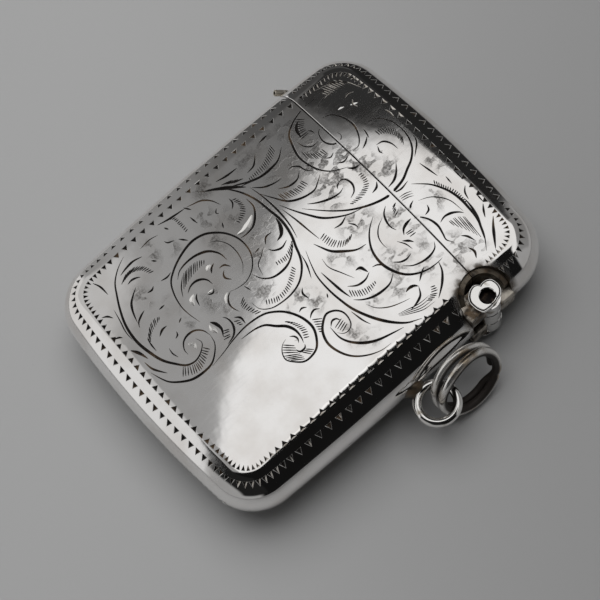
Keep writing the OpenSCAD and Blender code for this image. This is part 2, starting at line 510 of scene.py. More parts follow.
@dataclass(frozen=True)
class CaseForm:
    """The cushion form of the case, in millimetres: a bowed oblong with full round edges and crowned faces."""

    half_w: float = 17.95
    half_l: float = 23.5
    side_r: float = 390.0
    end_r: float = 120.0
    round_r: float = 5.7
    mid_z: float = 5.62
    across_r: float = 240.0
    along_r: float = 460.0
    ease: float = 0.16
    rim_y: float = 12.6
    rim_bow: float = 0.4
    rim_gap: float = 0.1
    hinge: Pair = (16.9, 12.6)
    scoop_r: float = 3.1
    side_tries: int = 24
    mouth_tries: int = 12

    @property
    def side_c(self) -> float:
        """Centre of the bow of the hinge side."""
        return self.half_w - self.side_r

    @property
    def end_c(self) -> float:
        """Centre of the bow of the lid end."""
        return self.half_l - self.end_r

    @property
    def corner(self) -> Pair:
        """Centre of the ball of the corner between hinge side and lid end.

        Returns:
            Its place in plan.
        """
        side_k = self.side_r - self.round_r
        end_k = self.end_r - self.round_r
        span = math.hypot(self.side_c, self.end_c)
        along = (side_k**2 - end_k**2 + span**2) / (2 * span)
        across = math.sqrt(side_k**2 - along**2)
        ux, uy = -self.side_c / span, self.end_c / span
        return self.side_c + along * ux - across * uy, along * uy + across * ux

    @property
    def turns(self) -> Pair:
        """Angles at which the corner leaves the side and meets the end."""
        cx, cy = self.corner
        return math.atan2(cy, cx - self.side_c), math.atan2(cy - self.end_c, cx)

    def rim(self, x: Any) -> Any:
        """Where the lid meets the body, at one distance across the case or at many."""
        return self.rim_y + self.rim_bow * np.maximum(0.0, 1.0 - (x / self.half_w) ** 2)

    def inward(self, xy: np.ndarray) -> tuple[np.ndarray, np.ndarray]:
        """Distances inside the widest outline.

        Args:
            xy: Points in plan, one row each.

        Returns:
            The distances, and the outward directions in plan.
        """
        cx, cy = self.corner
        low, high = self.turns
        p = np.abs(xy)
        to_side = p - (self.side_c, 0.0)
        to_end = p - (0.0, self.end_c)
        to_corner = p - (cx, cy)
        d_side = self.side_r - np.hypot(*to_side.T)
        d_end = self.end_r - np.hypot(*to_end.T)
        turn = np.arctan2(to_corner[:, 1], to_corner[:, 0])
        in_corner = (turn > low) & (turn < high)
        use_end = d_end < d_side
        way = np.where(use_end[:, None], to_end, to_side)
        way = np.where(in_corner[:, None], to_corner, way)
        depth = np.where(in_corner, self.round_r - np.hypot(*to_corner.T), np.minimum(d_side, d_end))
        way = way / np.maximum(np.linalg.norm(way, axis=1), 1e-9)[:, None]
        return depth, way * np.where(xy < 0, -1.0, 1.0)

    def surface(self, xy: np.ndarray, inset: float = 0.0) -> tuple[np.ndarray, np.ndarray]:
        """The upper skin over points in plan.

        Args:
            xy: Points in plan, one row each.
            inset: Depth of the skin inside the outer one.

        Returns:
            Heights above the middle, and unit normals.
        """
        depth, way = self.inward(xy)
        reach = np.maximum(self.round_r - depth, 0.0)
        ball = self.round_r - inset
        rise = np.sqrt(np.maximum(ball**2 - reach**2, 1e-4))
        x, y = xy.T
        crown = ball - x**2 / (2 * self.across_r) - y**2 / (2 * self.along_r)
        share = np.clip(0.5 + 0.5 * (rise - crown) / self.ease, 0.0, 1.0)
        height = rise * (1 - share) + crown * share - self.ease * share * (1 - share)
        slope = way * (-reach / rise)[:, None] * (1 - share)[:, None]
        slope = slope + np.stack([-x / self.across_r, -y / self.along_r], 1) * share[:, None]
        normal = np.concatenate([-slope, np.ones((len(xy), 1))], 1)
        return height, normal / np.linalg.norm(normal, axis=1)[:, None]

    def side_angle(self, depth: float, member: Member, hinge_side: bool) -> float:
        """Where a side run ends at the lid line or at the hinge recess.

        Args:
            depth: Distance of the run inside the widest outline.
            member: The body or the lid.
            hinge_side: True on the side with the hinge.

        Returns:
            The angle of that point about the centre of the side's bow.
        """
        sign = member.sign
        radius = self.side_r - depth
        y = self.hinge[1]
        for _ in range(self.side_tries):
            x = self.side_c + math.sqrt(radius**2 - y**2)
            if hinge_side:
                y = self.hinge[1] + sign * math.sqrt(max(0.0, self.scoop_r**2 - (x - self.hinge[0]) ** 2))
            else:
                y = self.rim(x) + sign * self.rim_gap / 2
        return math.asin(y / radius)

    def run(self, depth: float, member: Member, counts: Sequence[int]) -> np.ndarray:
        """The edge line of the body or lid at one distance inside the widest outline.

        Args:
            depth: That distance.
            member: The body or the lid.
            counts: Steps along a side, round a corner and along an end.

        Returns:
            Points in plan, from one cut end to the other, with the case on the left.
        """
        cx, cy = self.corner
        low, high = self.turns
        hinge = self.side_angle(depth, member, True)
        plain = self.side_angle(depth, member, False)
        side = (self.side_c, 0.0, self.side_r - depth)
        corner = (cx, cy, self.round_r - depth)
        end = (0.0, self.end_c, self.end_r - depth)
        if member is Member.LID:
            arcs = [(side, hinge, low, 1, 0), (corner, low, high, 1, 1), (end, high, math.pi - high, 1, 2)]
            arcs += [(corner, high, low, -1, 1), (side, low, plain, -1, 0)]
        else:
            arcs = [(side, -plain, low, -1, 0), (corner, low, high, -1, 1), (end, math.pi - high, high, 1, 2)]
            arcs += [(corner, high, low, 1, 1), (side, low, -hinge, 1, 0)]
        points: list[np.ndarray] = []
        for (ox, oy, radius), start, stop, mirror, kind in arcs:
            turn = np.linspace(start, stop, counts[kind] + 1)
            line = np.stack([(ox + radius * np.cos(turn)) * mirror, (oy + radius * np.sin(turn)) * member.sign], 1)
            points.append(line if not points else line[1:])
        return np.concatenate(points)

    def mouth(self, depth: float, member: Member, counts: Sequence[int]) -> np.ndarray:
        """The line round the cut side, from the end of a run back to its start, without those two points.

        Args:
            depth: Distance of the run inside the widest outline.
            member: The body or the lid.
            counts: Steps along the hinge recess and along the lid line.

        Returns:
            Points in plan.
        """
        sign = member.sign
        hx, hy = self.hinge
        turn = self.side_angle(depth, member, True)
        radius = self.side_r - depth
        ex, ey = self.side_c + radius * math.cos(turn), radius * math.sin(turn)
        meet = hx - self.scoop_r
        for _ in range(self.mouth_tries):
            gap = self.rim(meet) + sign * self.rim_gap / 2 - hy
            meet = hx - math.sqrt(self.scoop_r**2 - gap**2)
        first = math.atan2(ey - hy, ex - hx)
        last = math.atan2(self.rim(meet) + sign * self.rim_gap / 2 - hy, meet - hx)
        if sign < 0:
            last -= 2 * math.pi if last > 0 else 0.0
        sweep = np.linspace(first, last, counts[0] + 1)
        scoop = np.stack([hx + self.scoop_r * np.cos(sweep), hy + self.scoop_r * np.sin(sweep)], 1)
        turn = self.side_angle(depth, member, False)
        left = -(self.side_c + radius * math.cos(turn))
        xs = np.linspace(meet, left, counts[1] + 1)
        rim = np.stack([xs, self.rim(xs) + sign * self.rim_gap / 2], 1)
        path = np.concatenate([scoop, rim[1:]])[1:-1]
        return path if member is Member.BODY else path[::-1]


FORM = CaseForm()


def smooth_line(points: Sequence[Pair], step: float) -> np.ndarray:
    """A smooth curve through points.

    Args:
        points: The points, in order.
        step: Distance between samples, in millimetres.

    Returns:
        The samples, one row each.
    """
    p = np.array(points, float)
    if len(p) == 2:
        count = max(2, int(math.ceil(np.linalg.norm(p[1] - p[0]) / step)) + 1)
        return p[0] + (p[1] - p[0]) * np.linspace(0, 1, count)[:, None]
    p = np.concatenate([[2 * p[0] - p[1]], p, [2 * p[-1] - p[-2]]])
    knots = np.concatenate([[0.0], np.cumsum(np.sqrt(np.linalg.norm(np.diff(p, axis=0), axis=1)))])
    line: list[np.ndarray] = []
    for i in range(1, len(p) - 2):
        near = knots[i - 1 : i + 3]
        count = max(2, int(math.ceil(np.linalg.norm(p[i + 1] - p[i]) / step)))
        t = np.linspace(near[1], near[2], count + 1)[:-1, None]
        parts = list(p[i - 1 : i + 3])
        for low, high in (near[:-1], near[1:]), (near[:-2], near[2:]), (near[1:2], near[2:3]):
            ends = zip(low, high, parts, parts[1:])
            parts = [(b - t) / (b - a) * one + (t - a) / (b - a) * two for a, b, one, two in ends]
        line += parts
    line.append(p[-2][None])
    return np.concatenate(line)


@dataclass(frozen=True)
class Cut:
    """One stroke of the graver through points on the face; it swells and tapers."""

    points: tuple[Pair, ...]
    width: float = 0.2
    swell: float = 0.5
    thin: float = 0.14
    step: float = 0.22
    steep: float = 0.36
    dark: float = 1.0
    taper: float = 0.55
    fullness: float = 0.54

    def line(self) -> tuple[np.ndarray, np.ndarray]:
        """The stroke's middle line.

        Returns:
            Samples along it, and half the width at each.
        """
        p = smooth_line(self.points, self.step)
        reach = np.concatenate([[0.0], np.cumsum(np.linalg.norm(np.diff(p, axis=0), axis=1))])
        t = reach / reach[-1]
        full = np.clip(np.minimum(t / self.swell, (1 - t) / (1 - self.swell)), 0, 1) ** self.taper
        return p, self.fullness * self.width * np.maximum(full, self.thin)


Motif = tuple[Cut, ...]


def pairs(xy: Sequence[float]) -> tuple[Pair, ...]:
    """Points from their x and y in turn."""
    return tuple(zip(xy[::2], xy[1::2]))


def cut(width: float, *xy: float, swell: float = 0.5) -> Cut:
    """A stroke of a given width that is widest at a share of its length."""
    return Cut(pairs(xy), width, swell)


def facet(width: float, *xy: float) -> Cut:
    """A wide shallow stroke that stays bright."""
    return Cut(pairs(xy), width, steep=0.07, dark=0.0)


def hatch(first: Sequence[float], last: Sequence[float], pitch: float = 0.29, width: float = 0.155) -> Iterator[Cut]:
    """Shading lines between two guide lines.

    Args:
        first: The line that they start from, as x and y in turn.
        last: The line that they end on.
        pitch: Distance between them.
        width: Width of each.

    Yields:
        The strokes.
    """
    guide_step, fewest, longest_step, parts = 0.1, 3, 0.6, 3
    guides = [smooth_line(pairs(side), guide_step) for side in (first, last)]
    count = max(fewest, round(sum(len(guide) - 1 for guide in guides) / 2 * guide_step / pitch))
    for share in (np.arange(count) + 0.5) / count:
        ends = [guide[round(share * (len(guide) - 1))] for guide in guides]
        step = min(longest_step, math.dist(*ends) / parts)
        yield Cut((tuple(ends[0]), tuple(ends[1])), width, swell=0.4, thin=0.5, step=step)


@dataclass(frozen=True)
class Nick:
    """A small three-sided pit of the border."""

    corners: tuple[Pair, Pair, Pair]
    pit: Pair
    depth: float


@dataclass(frozen=True)
class NickBorder:
    """A row of nicks that follows the edge of the face and tightens towards its corners.

    The pitches are for the body's side, the lid's side, a corner, the base end and the lid end.
    """

    inset: float
    pitches: tuple[float, float, float, float, float]
    width: float = 0.62
    height: float = 0.46
    depth: float = 0.17
    points_in: bool = True
    tighten: float = 5.0
    fill: float = 0.8
    heel: float = 0.45
    toe: float = 0.75
    pit_back: float = 0.08
    counts: tuple[int, int, int] = (200, 80, 200)

    def nicks(self, member: Member) -> Iterator[Nick]:
        """Sets the nicks along the body or the lid.

        Args:
            member: The body or the lid.

        Yields:
            The nicks, from one cut end to the other.
        """
        lid = member is Member.LID
        side, corner, end = self.pitches[lid], self.pitches[2], self.pitches[3 + lid]
        line = FORM.run(self.inset, member, self.counts)
        room = (np.array(FORM.corner)[::-1] - np.abs(line)[:, ::-1]) / self.tighten
        up, across = np.clip(room, 0, 1).T
        pitch = corner + (side - corner) * up + (end - corner) * across
        gaps = np.linalg.norm(np.diff(line, axis=0), axis=1)
        phase = np.concatenate([[0.0], np.cumsum(gaps * 2 / (pitch[1:] + pitch[:-1]))])
        count = round(phase[-1])
        at = (np.arange(count) + 0.5) * phase[-1] / count
        middle = np.stack([np.interp(at, phase, axis) for axis in line.T], 1)
        _, way = FORM.inward(middle)
        flip = -1.0 if self.points_in else 1.0
        for (x, y), (ox, oy), share in zip(middle, way * flip, np.interp(at, phase, pitch)):
            half = min(self.width, share * self.fill) / 2
            heel, toe, back = (self.height * part for part in (self.heel, self.toe, self.pit_back))
            left = (x - ox * heel - oy * half, y - oy * heel + ox * half)
            right = (x - ox * heel + oy * half, y - oy * heel - ox * half)
            tip, pit = (x + ox * toe, y + oy * toe), (x - ox * back, y - oy * back)
            yield Nick((left, right, tip), pit, self.depth)


@dataclass(frozen=True)
class FoliateEngraving:
    """Leafy scrolls on the front; the corner by the loop is left plain. Points are x and y in turn, in millimetres."""

    # The scroll by the thumb lug, which runs on from the lid to the body.
    lid_corner: Motif = (
        cut(0.2, -10.5, 19.3, -12.4, 18.4, -13.5, 16.9, -13.9, 15.2),
        cut(0.17, -12.5, 17.1, -12.5, 15.7, -12.2, 14.4, -11.5, 13.6, swell=0.4),
        cut(
            0.3, -13.1, 14.8, -13.2, 13.6, -13, 12.1, -12.5, 10.7, -11.75, 9.6, -10.7, 9.1, -9, 8.6, -7.6, 8.7,
            -6.1, 9.2, -5.1, 10, -4.35, 11.3, -4.15, 11.7,
        ),
        cut(0.5, -12.4, 11.5, -11.75, 10.7, -10.5, 10.35),
        cut(0.18, -8.85, 11.4, -8.85, 10.5, -9.5, 9.85, -10.5, 9.65, swell=0.4),
        cut(0.26, -10.7, 13.6, -10.3, 14.6, -9, 15.35, -7.6, 15.55, -6.1, 15, -5.3, 14.2, -5.25, 13.4),
        cut(0.22, -10, 12.95, -9.7, 12.2, -8.6, 11.8, -7.8, 12, -7.3, 12.5, -7.2, 13.2, -7.6, 13.7, -8.2, 13.6),
        *hatch([-7.8, 11.2, -8, 10.25, -9.35, 9.1], [-6.95, 11.3, -7.05, 10.25, -8.1, 9.1]),
        *hatch([-13.4, 18, -13.7, 16.8, -13.4, 15.4], [-12, 18.6, -12.1, 17.2, -12.3, 16]),
        *hatch([-12.8, 11.5, -11.8, 10.5, -10.2, 10.1], [-12, 12.2, -11.3, 11.5, -10.3, 11.3]),
        cut(0.2, -10.7, 18.3, -11, 17.75, -10.8, 17.1),
        facet(0.4, -9.35, 17.75, -9.45, 17.3, -9.7, 16.9),
        facet(0.34, -10, 16.3, -10.1, 15.9, -10.2, 15.5),
        cut(0.2, -10.1, 17.6, -9.6, 17.2, -9, 17.4),
        cut(0.18, -10.7, 11.4, -10.3, 11.7, -9.8, 11.8),
        cut(0.18, -6.65, 11.7, -6.4, 11.1, -6.75, 10.5),
        cut(0.22, -5.1, 12.5, -5, 11.7, -5.4, 11.1),
        cut(0.3, -4.15, 11.5, -3.6, 12.1, -3.5, 12.75),
        cut(0.18, -12.9, 18.9, -12.2, 19.4, -11.5, 19.6),
    )
    # The long leaf over the middle of the lid, whose back runs down to the trunk.
    crest_leaf: Motif = (
        cut(
            0.32, -6.85, 16.7, -6.3, 18, -5.1, 18.8, -3.4, 19.05, -2, 18.8, -0.9, 18.2, 0, 17.2, 0.5, 16.2, 1.1, 15,
            1.4, 13.5, 1.45, 12.5, 1.2, 11.3, 0.6, 9.8, -0.3, 8.3, -1.5, 6.9, -2.7, 5.8, -4, 4.7, swell=0.55,
        ),
        cut(0.24, -4, 15.7, -3.8, 16.5, -3, 17, -2, 17.1, swell=0.4),
        cut(0.2, -3.8, 15.7, -3.1, 15.4, -2.7, 15.55),
        cut(0.24, -5.5, 15.7, -5, 15, -4.7, 14.3),
        *hatch(
            [-5.4, 16.6, -5.3, 17.3, -4.7, 18.2, -3.6, 18.55, -2.6, 18.4],
            [-4.65, 16.7, -4.45, 17.2, -3.95, 17.65, -3.1, 17.95, -1.85, 17.85],
        ),
        cut(0.2, -6.5, 16, -5.9, 15.9, -5.2, 15.7),
        cut(0.2, -6.6, 19.3, -5.9, 19.45, -5.1, 19.4),
        cut(0.22, -2.4, 19.5, -1.3, 19.2, 0, 17.75),
        cut(0.3, -0.9, 15.8, 0, 15, 0.5, 14.2, 0.7, 13.2, swell=0.6),
        cut(0.22, 1.6, 15.25, 1.8, 14, 1.5, 13),
    )
    # Leaves that hang from the lid line down to the trunk.
    rim_leaves: Motif = (
        *hatch(
            [-2.75, 12.3, -1.95, 12.3, -1.1, 12, -0.6, 11.3, -0.35, 10.25, -0.5, 9],
            [-2.7, 11.8, -2.05, 11.8, -1.45, 11.5, -1.1, 10.9, -0.9, 10, -0.75, 8.8],
        ),
        cut(0.28, -0.7, 12.75, -0.2, 12.3, 0, 11.5),
        cut(0.26, -3.6, 9.6, -3.4, 10.35, -2.4, 10.65, -1.55, 10.2, -1.2, 9.4),
        cut(0.2, -3.5, 9.85, -3.3, 9.3, -3, 9.1),
        cut(0.28, -2.7, 9.6, -2.5, 9, -2.7, 7.75, -3.4, 6.3, -4, 5.5),
        cut(0.26, -7.6, 7.5, -7, 6.7, -7, 5.5, -7.6, 4.4),
        cut(0.22, -8.6, 6.7, -8.5, 7.3, -8, 7.85, -7.2, 8.06, -6.5, 8.6),
        cut(0.18, -7.6, 8.3, -7.3, 8.7, -6.1, 9),
        *hatch([-6.65, 7, -6.35, 6.1, -6.55, 5.3, -7.2, 3.8], [-5.7, 7.2, -5.5, 5.9, -5.7, 5.1, -6.1, 4]),
        cut(0.34, -11.2, 8, -10.3, 6.75, -10.05, 5.5, -10.1, 4, -10.5, 2.6, -10.8, 1.55),
        *hatch(
            [-12.4, 7.4, -11.75, 6.3, -11.2, 5.1, -11, 3.8, -10.9, 2.8],
            [-11.3, 7.2, -10.7, 6.1, -10.4, 5.1, -10.45, 3.8, -10.55, 2.8],
        ),
        cut(0.26, -12.7, 5.4, -11.9, 4.6, -11.65, 4.2, -11.5, 3.2),
        cut(0.28, -13.5, 7.8, -13.4, 6.5, swell=0.4),
        cut(0.24, -8.3, 5.5, -8.45, 4.5, -8.9, 3.4, -9.8, 2.4),
    )
    # The stem across the middle and the leaves that leave it.
    trunk: Motif = (
        cut(
            0.34, -13.9, -2.4, -13, -1.4, -12, 0, -10.9, 0.8, -9.7, 1.4, -8.2, 1.85, -6.3, 2.06, -4.7, 2.2, -3.4, 2.06,
            -2.2, 1.75, -1.1, 1.3, 0, 0.9, 1, 0.3, 2.1, -0.95, 2.6, -2.4, 2.6, -4.1, 2.3, -5.3, 1.5, -6.2, 0.4, -6.4,
            swell=0.45,
        ),
        cut(0.5, -13.2, -1.5, -12, 0.1, -11.1, 1.2, -10.3, 2),
        cut(0.26, -9.9, 2.3, -8, 2.6, -5.5, 2.7, -3.4, 2.5, -1.8, 2.1),
        cut(0.28, -8.5, 2.6, -7.2, 3.3, -5.7, 4.25, -4.9, 5.7, -4.7, 7.2, -5.1, 8, -5.7, 8.9),
        cut(0.28, -6.1, 3.2, -4.5, 3.9, -3, 4.7, -1.5, 5.7, 0, 7.8, 0.6, 9.6),
        cut(0.22, -5.5, 3.1, -3.4, 3.4, -1.3, 3.6, 0, 3.75),
        cut(0.22, -11.75, 0.3, -11.3, 1.3, -10.7, 2.4, -10.25, 3.8),
        cut(0.28, -12.8, 2.8, -12.9, 1.3, -13.2, 0),
        *hatch([-12.5, 0.1, -11.6, 1.4], [-12.2, 1.2, -11.2, 2.6]),
        cut(0.28, -2, 1.55, -0.7, 0.3, -0.1, -1, -0.2, -2.8, -1, -3.8, -2, -4.2),
        *hatch(
            [0.25, -0.5, 1.0, -1.55, 1.6, -2.65, 1.7, -4.0, 1.15, -5.1],
            [0.75, -0.3, 1.5, -1.25, 2.15, -2.55, 2.3, -4.2, 1.6, -5.5],
        ),
        cut(0.2, 0, 1.1, 1.25, 0.8, 2.8, 0.1),
    )
    # Leaves under the trunk.
    fan_leaves: Motif = (
        *hatch(
            [-10.2, 0.3, -9.25, 0.5, -8.4, 0.3, -7.8, -0.3, -7.5, -1.4],
            [-10.3, -0.2, -9.25, 0, -8.7, -0.25, -8.15, -0.95, -7.95, -1.5],
        ),
        cut(0.32, -9.25, 1.1, -8, 1.1, -7, 0.5, -6.2, -0.5, -6, -1.6, -6.1, -2.4),
        facet(0.7, -7.3, 0.3, -6.8, -0.6, -6.55, -1.6, -6.7, -2.4),
        cut(0.24, -10.6, -0.25, -9.9, -0.3, -9.35, -0.85),
        cut(0.2, -10.7, -2, -10.3, -2.4, -10, -2.2),
        cut(0.22, -9, -2.6, -8.3, -3),
        cut(0.5, -5.2, 1.95, -4.25, 1.75, -3.3, 1.1, -3.05, 0.3),
        cut(0.26, -2.4, 1.1, -2.1, 0.1, -2.5, -0.75, -3, -1.05),
        cut(0.24, -4.25, 0.5, -4.25, -0.3, -3.6, -0.95),
        *hatch([-2.05, 1.55, -1.55, 0.7, -1.2, -0.3, -1.35, -1.6], [-1.3, 1.1, -0.7, 0.3, -0.6, -0.55, -0.9, -1.6]),
        cut(0.14, -3.6, -1.2, -3, -2, -2.4, -3, -1.1, -3.45),
        cut(0.22, -10.7, -1.4, -11.75, -1.8, -12.6, -2.6, -13, -3.7, -13.2, -4.3),
        cut(0.18, -3.8, -1.6, -3.7, -2.4),
    )
    # The large spiral left of the middle and the leaf inside it.
    great_spiral: Motif = (
        cut(
            0.3, -2.2, -7.2, -1.95, -6.4, -1.85, -5.3, -2.2, -4.3, -2.8, -3.5, -3.8, -2.8, -5.1, -2.5, -6.3, -2.6,
            -7.6, -3.15, -8.5, -3.9, -9.25, -4.9, -9.6, -6.2, -9.5, -7.4, -9.05, -8.9, -8.4, -10.2, -7.6, -11.2,
            -6.3, -11.85, -4.65, -12.2, -3.4, -12.15, -1.85, -11.85, swell=0.55,
        ),
        cut(0.24, -2.2, -7.2, -1.95, -7.7, -1.3, -8.2, -0.6, -8.25, 0.2, -8, swell=0.4),
        facet(0.34, -2.35, -7.5, -2.05, -8, -1.4, -8.45),
        cut(0.14, -8.2, -5.3, -7.7, -4.5, -6.75, -3.9, -5.5, -3.7, -3.8, -4.1, -2.8, -4.9),
        cut(0.32, -5.2, -5.1, -6.3, -5.2, -7.4, -5.9, -8, -7.1, -8.15, -8.5, -7.9, -9.75, -7.3, -10.5, swell=0.4),
        *hatch(
            [-6.95, -6.85, -7.4, -7.5, -7.55, -8.5, -7.4, -9.6], [-6.6, -7.1, -6.6, -8.1, -6.35, -9.6, -5.9, -10.9],
        ),
        cut(0.16, -7.3, -9.8, -6.3, -10.8, -5.3, -11.4),
        cut(0.24, -5.1, -6.4, -5, -5.75, -4.35, -5.3),
        cut(0.26, -4.55, -6.1, -4.2, -6.5, -3.75, -6.6, -3.15, -6.2),
        cut(0.28, -5.95, -6.4, -5.7, -6.95, -5.2, -7.35, swell=0.6),
        facet(0.5, -6.05, -6.75, -6, -7.2, -5.75, -7.6),
        cut(0.3, -5.3, -10.7, -5.7, -10, -5.75, -9.2, -5.4, -8.5, -4.9, -8.15, -4.2, -8.05),
        cut(0.24, -3.75, -8.25, -3.4, -8.7, -3.65, -9.3),
        facet(0.26, -3.75, -8.45, -3.7, -8.8, -3.8, -9.1),
        cut(0.24, -4.6, -10, -4.2, -10.4, -3.3, -10.7, swell=0.4),
        facet(0.55, -4.75, -10.3, -4.4, -10.9, -3.7, -11.1),
        cut(0.3, -0.6, -9.75, -0.2, -9.5, 0.5, -9.4, 1.25, -9.65, 1.8, -10.2, 2.15, -11.3),
        cut(0.42, -1.1, -11.1, -0.5, -10.75, 0.3, -10.65, 1.15, -11.1, swell=0.3),
        facet(0.6, -0.9, -11.35, -0.3, -11.4, 0.4, -11.25),
        cut(0.28, 0.3, -8.85, 0.85, -8.35, 1.7, -8.4),
        *hatch([-0.9, -6.55, 0.3, -6.8, 2, -6.25], [-0.4, -7.3, 0.1, -7.5, 1.7, -6.95]),
        *hatch([0.5, -9.2, 1.5, -9], [0.9, -8.6, 1.6, -8.65]),
        *hatch([0.8, -10, 1.8, -10.6], [0.5, -10.6, 1.6, -11.4]),
        cut(0.16, -1.65, -5.75, -0.7, -5.5),
    )
    # Small sprigs between the spiral and the border.
    edge_sprigs: Motif = (
        cut(0.26, -13.85, -8, -13.5, -6.6, -13.2, -4.5),
        *hatch([-13.5, -7, -13.2, -6.4, -12.2, -6.3, -10.9, -6.3], [-13.6, -6.4, -13.2, -6, -12.2, -5.85, -11, -5.9]),
        cut(0.22, -12, -4.8, -10.8, -4.65),
        cut(0.24, -13.1, -7.7, -12.55, -7.4),
        cut(0.2, -11.1, -7.8, -11.45, -8.55, -11.85, -8.7),
        cut(0.22, -10, -6.7, -10.9, -7.4),
        cut(0.22, -13.4, -4.6, -12.55, -4.1),
        cut(0.14, -12.9, -8.7, -13.15, -9.75, -13.05, -11.2),
        cut(0.22, -10.6, -10.75, -11.1, -11.2),
        cut(0.22, -8.5, -10.5, -8.35, -11.1, -8.5, -11.95),
    )
    # The leaf along the base, which ends in a curl.
    base_leaf: Motif = (
        cut(0.28, -12.2, -11.6, -12.5, -12.7, -12.4, -13.9, -12.2, -14.75),
        *hatch(
            [-9.9, -11.75, -11.1, -12.15, -11.9, -13.1, -11.9, -14.3],
            [-10.1, -12.3, -11, -12.75, -11.55, -13.7, -11.3, -15.4],
        ),
        cut(0.26, -10.8, -14.85, -10.9, -14.2, -10.7, -13.6, -10.45, -13.25),
        cut(0.26, -8.65, -12.9, -8.4, -13.3, -8.5, -13.9),
        cut(0.3, -9.9, -14.4, -9.45, -15.15, -8.85, -15.9, -8, -16.4, -6.65, -16.85),
        cut(0.26, -7.2, -15.4, -6.95, -16.1, -6.55, -16.75, -6, -17.05, swell=0.4),
        *hatch(
            [-5.4, -14.55, -5.7, -15.2, -5.5, -16, -5, -16.6, -4.5, -17.2],
            [-5.2, -14.9, -4.95, -15.6, -4.65, -16.4, -4.15, -17, -3.65, -17.4],
        ),
        cut(0.2, -4.45, -17.25, -3.6, -17.35, -2.7, -17.4),
        cut(0.3, -4.1, -14.75, -4.1, -15.4, -3.7, -16.1),
        cut(0.22, -2.9, -14.4, -2.5, -14.55, -2.3, -15),
        cut(0.22, -6.1, -13.4, -6.1, -14.2),
        cut(0.18, -3.7, -13, -3.4, -13.6),
        cut(
            0.36, -13.7, -13.1, -13, -14.5, -12, -15.7, -10.7, -16.5, -9.25, -17.25, -7.6, -17.9, -6.1, -18.2,
            -4.7, -18.25, -3, -18, -1.5, -17.6, -0.3, -16.9, 0.8, -16, 1.1, -15, 0.7, -13.9, 0, -13.2, -0.8, -13.4,
            swell=0.55,
        ),
        cut(
            0.3, 0, -12, 1.05, -12.25, 2, -13.1, 2.55, -14, 2.65, -15.2, 2.4, -16.6, 1.65, -17.8, 0.85, -18.6, 0, -19,
            -1.3, -19.4,
        ),
        cut(0.26, 0, -12, -0.9, -12.25, -1.55, -12.9, -1.7, -13.8, -1.45, -14.55, -0.7, -15.1, 0, -15.15),
        facet(0.5, -0.9, -14.4, -0.4, -14, 0.1, -14.1),
        *hatch([1.1, -12.9, 2.3, -15.4, 1.4, -17.3], [0.5, -13.4, 1.3, -15.2, 0.6, -16.5]),
        cut(0.24, -13.75, -17.55, -12.8, -17.2, -11.45, -17.15),
        cut(0.24, -8.95, -18.45, -9.55, -18.8, -9.9, -19.35),
        cut(0.24, -6.45, -19.1, -6.75, -19.35, -7, -19.9),
        cut(0.4, -2.7, -18.6, -3.85, -18.9, -4.75, -19.4, swell=0.6),
        cut(0.26, -2.7, -19.15, -1.55, -19, -0.6, -18.5, 0, -18.1),
        cut(0.16, -9.65, -17.8, -8.2, -18.1, -6.75, -18.45, -5.4, -18.5),
        cut(0.18, -2, -16.2, -1.3, -16.3, -0.5, -16.1),
    )
    # The C scroll below the middle, whose curl faces the plain corner.
    middle_scroll: Motif = (
        cut(
            0.3, 2.8, -14.1, 2.5, -12.2, 2.2, -10.8, 1.95, -8.7, 2.1, -7, 2.4, -6, 3.1, -5, 3.75, -4.4, 4.8, -3.8,
            6, -3.45, 7.1, -3.45, 8.1, -3.9, 9, -4.7, 9.3, -5.75, 9.2, -6.6, 8.5, -7.4, 7.7, -7.9, 6.9, -7.7,
            6.25, -7.1, 6, -6.4, swell=0.6,
        ),
        cut(0.34, 2.7, -9.9, 2.9, -8, 3.3, -7, 4.2, -6.2, 5, -5.4, 6, -5, 7.1, -5.1, 7.6, -5.3, swell=0.7),
        *hatch([4.3, -5.3, 5.3, -4.85, 6.5, -4.65, 7.4, -5], [4.8, -4.85, 5.5, -4.35, 6.6, -4.05, 7.6, -4.45]),
        cut(0.22, 6.05, -5.95, 6.4, -5.55, 6.9, -5.45, 7.25, -5.7),
        cut(0.26, 7.6, -6.4, 8.1, -6.2, 8.1, -5.5, 7.8, -5.3),
        *hatch([6.2, -6.9, 6.6, -7.4, 7.4, -7.8, 8.3, -7.5], [7.1, -6.2, 8, -6.4, 8.7, -6.3, 9.1, -6.4]),
        *hatch([8.2, -6.2, 8.3, -5.5], [9.1, -5.6, 8.9, -4.9]),
    )
    # The C scroll by the loop.
    side_scroll: Motif = (
        cut(0.34, 13.6, 3.6, 13.3, 2.4, 12.7, 0.5, 11.9, -0.75, 10.8, -1.7, 9.8, -2.1, 8.3, -2.1),
        cut(
            0.3, 14, 1.5, 13.85, 0.1, 13.1, -1.5, 12.1, -2.6, 10.8, -3.25, 9.4, -3.45, 8.1, -3, 7.3, -2.2, 6.9, -1.4,
            7.2, -0.55, 7.9, 0, 8.75, 0.05, 9.6, -0.3, 9.9, -1, 9.7, -1.6, 9.2, -1.95,
        ),
        cut(0.24, 8.3, -2, 7.9, -1.5, 8, -1, 8.5, -0.75),
        *hatch([8.2, -0.6, 9.4, -0.5], [8.5, -1.8, 9.7, -1.4]),
        cut(0.24, 6, -1.5, 5.65, -2, 5.75, -2.5, 6.1, -3),
        cut(0.22, 4.9, -2.4, 4.6, -2.9, 4.75, -3.4),
        cut(0.26, 2.9, -1.3, 3.4, -1.7, 4.3, -1.6),
        cut(0.2, 5.2, 0.2, 5.7, -0.1),
        *hatch([6.25, -2.9, 7.9, -3.3], [6.9, -2, 8.2, -3]),
    )
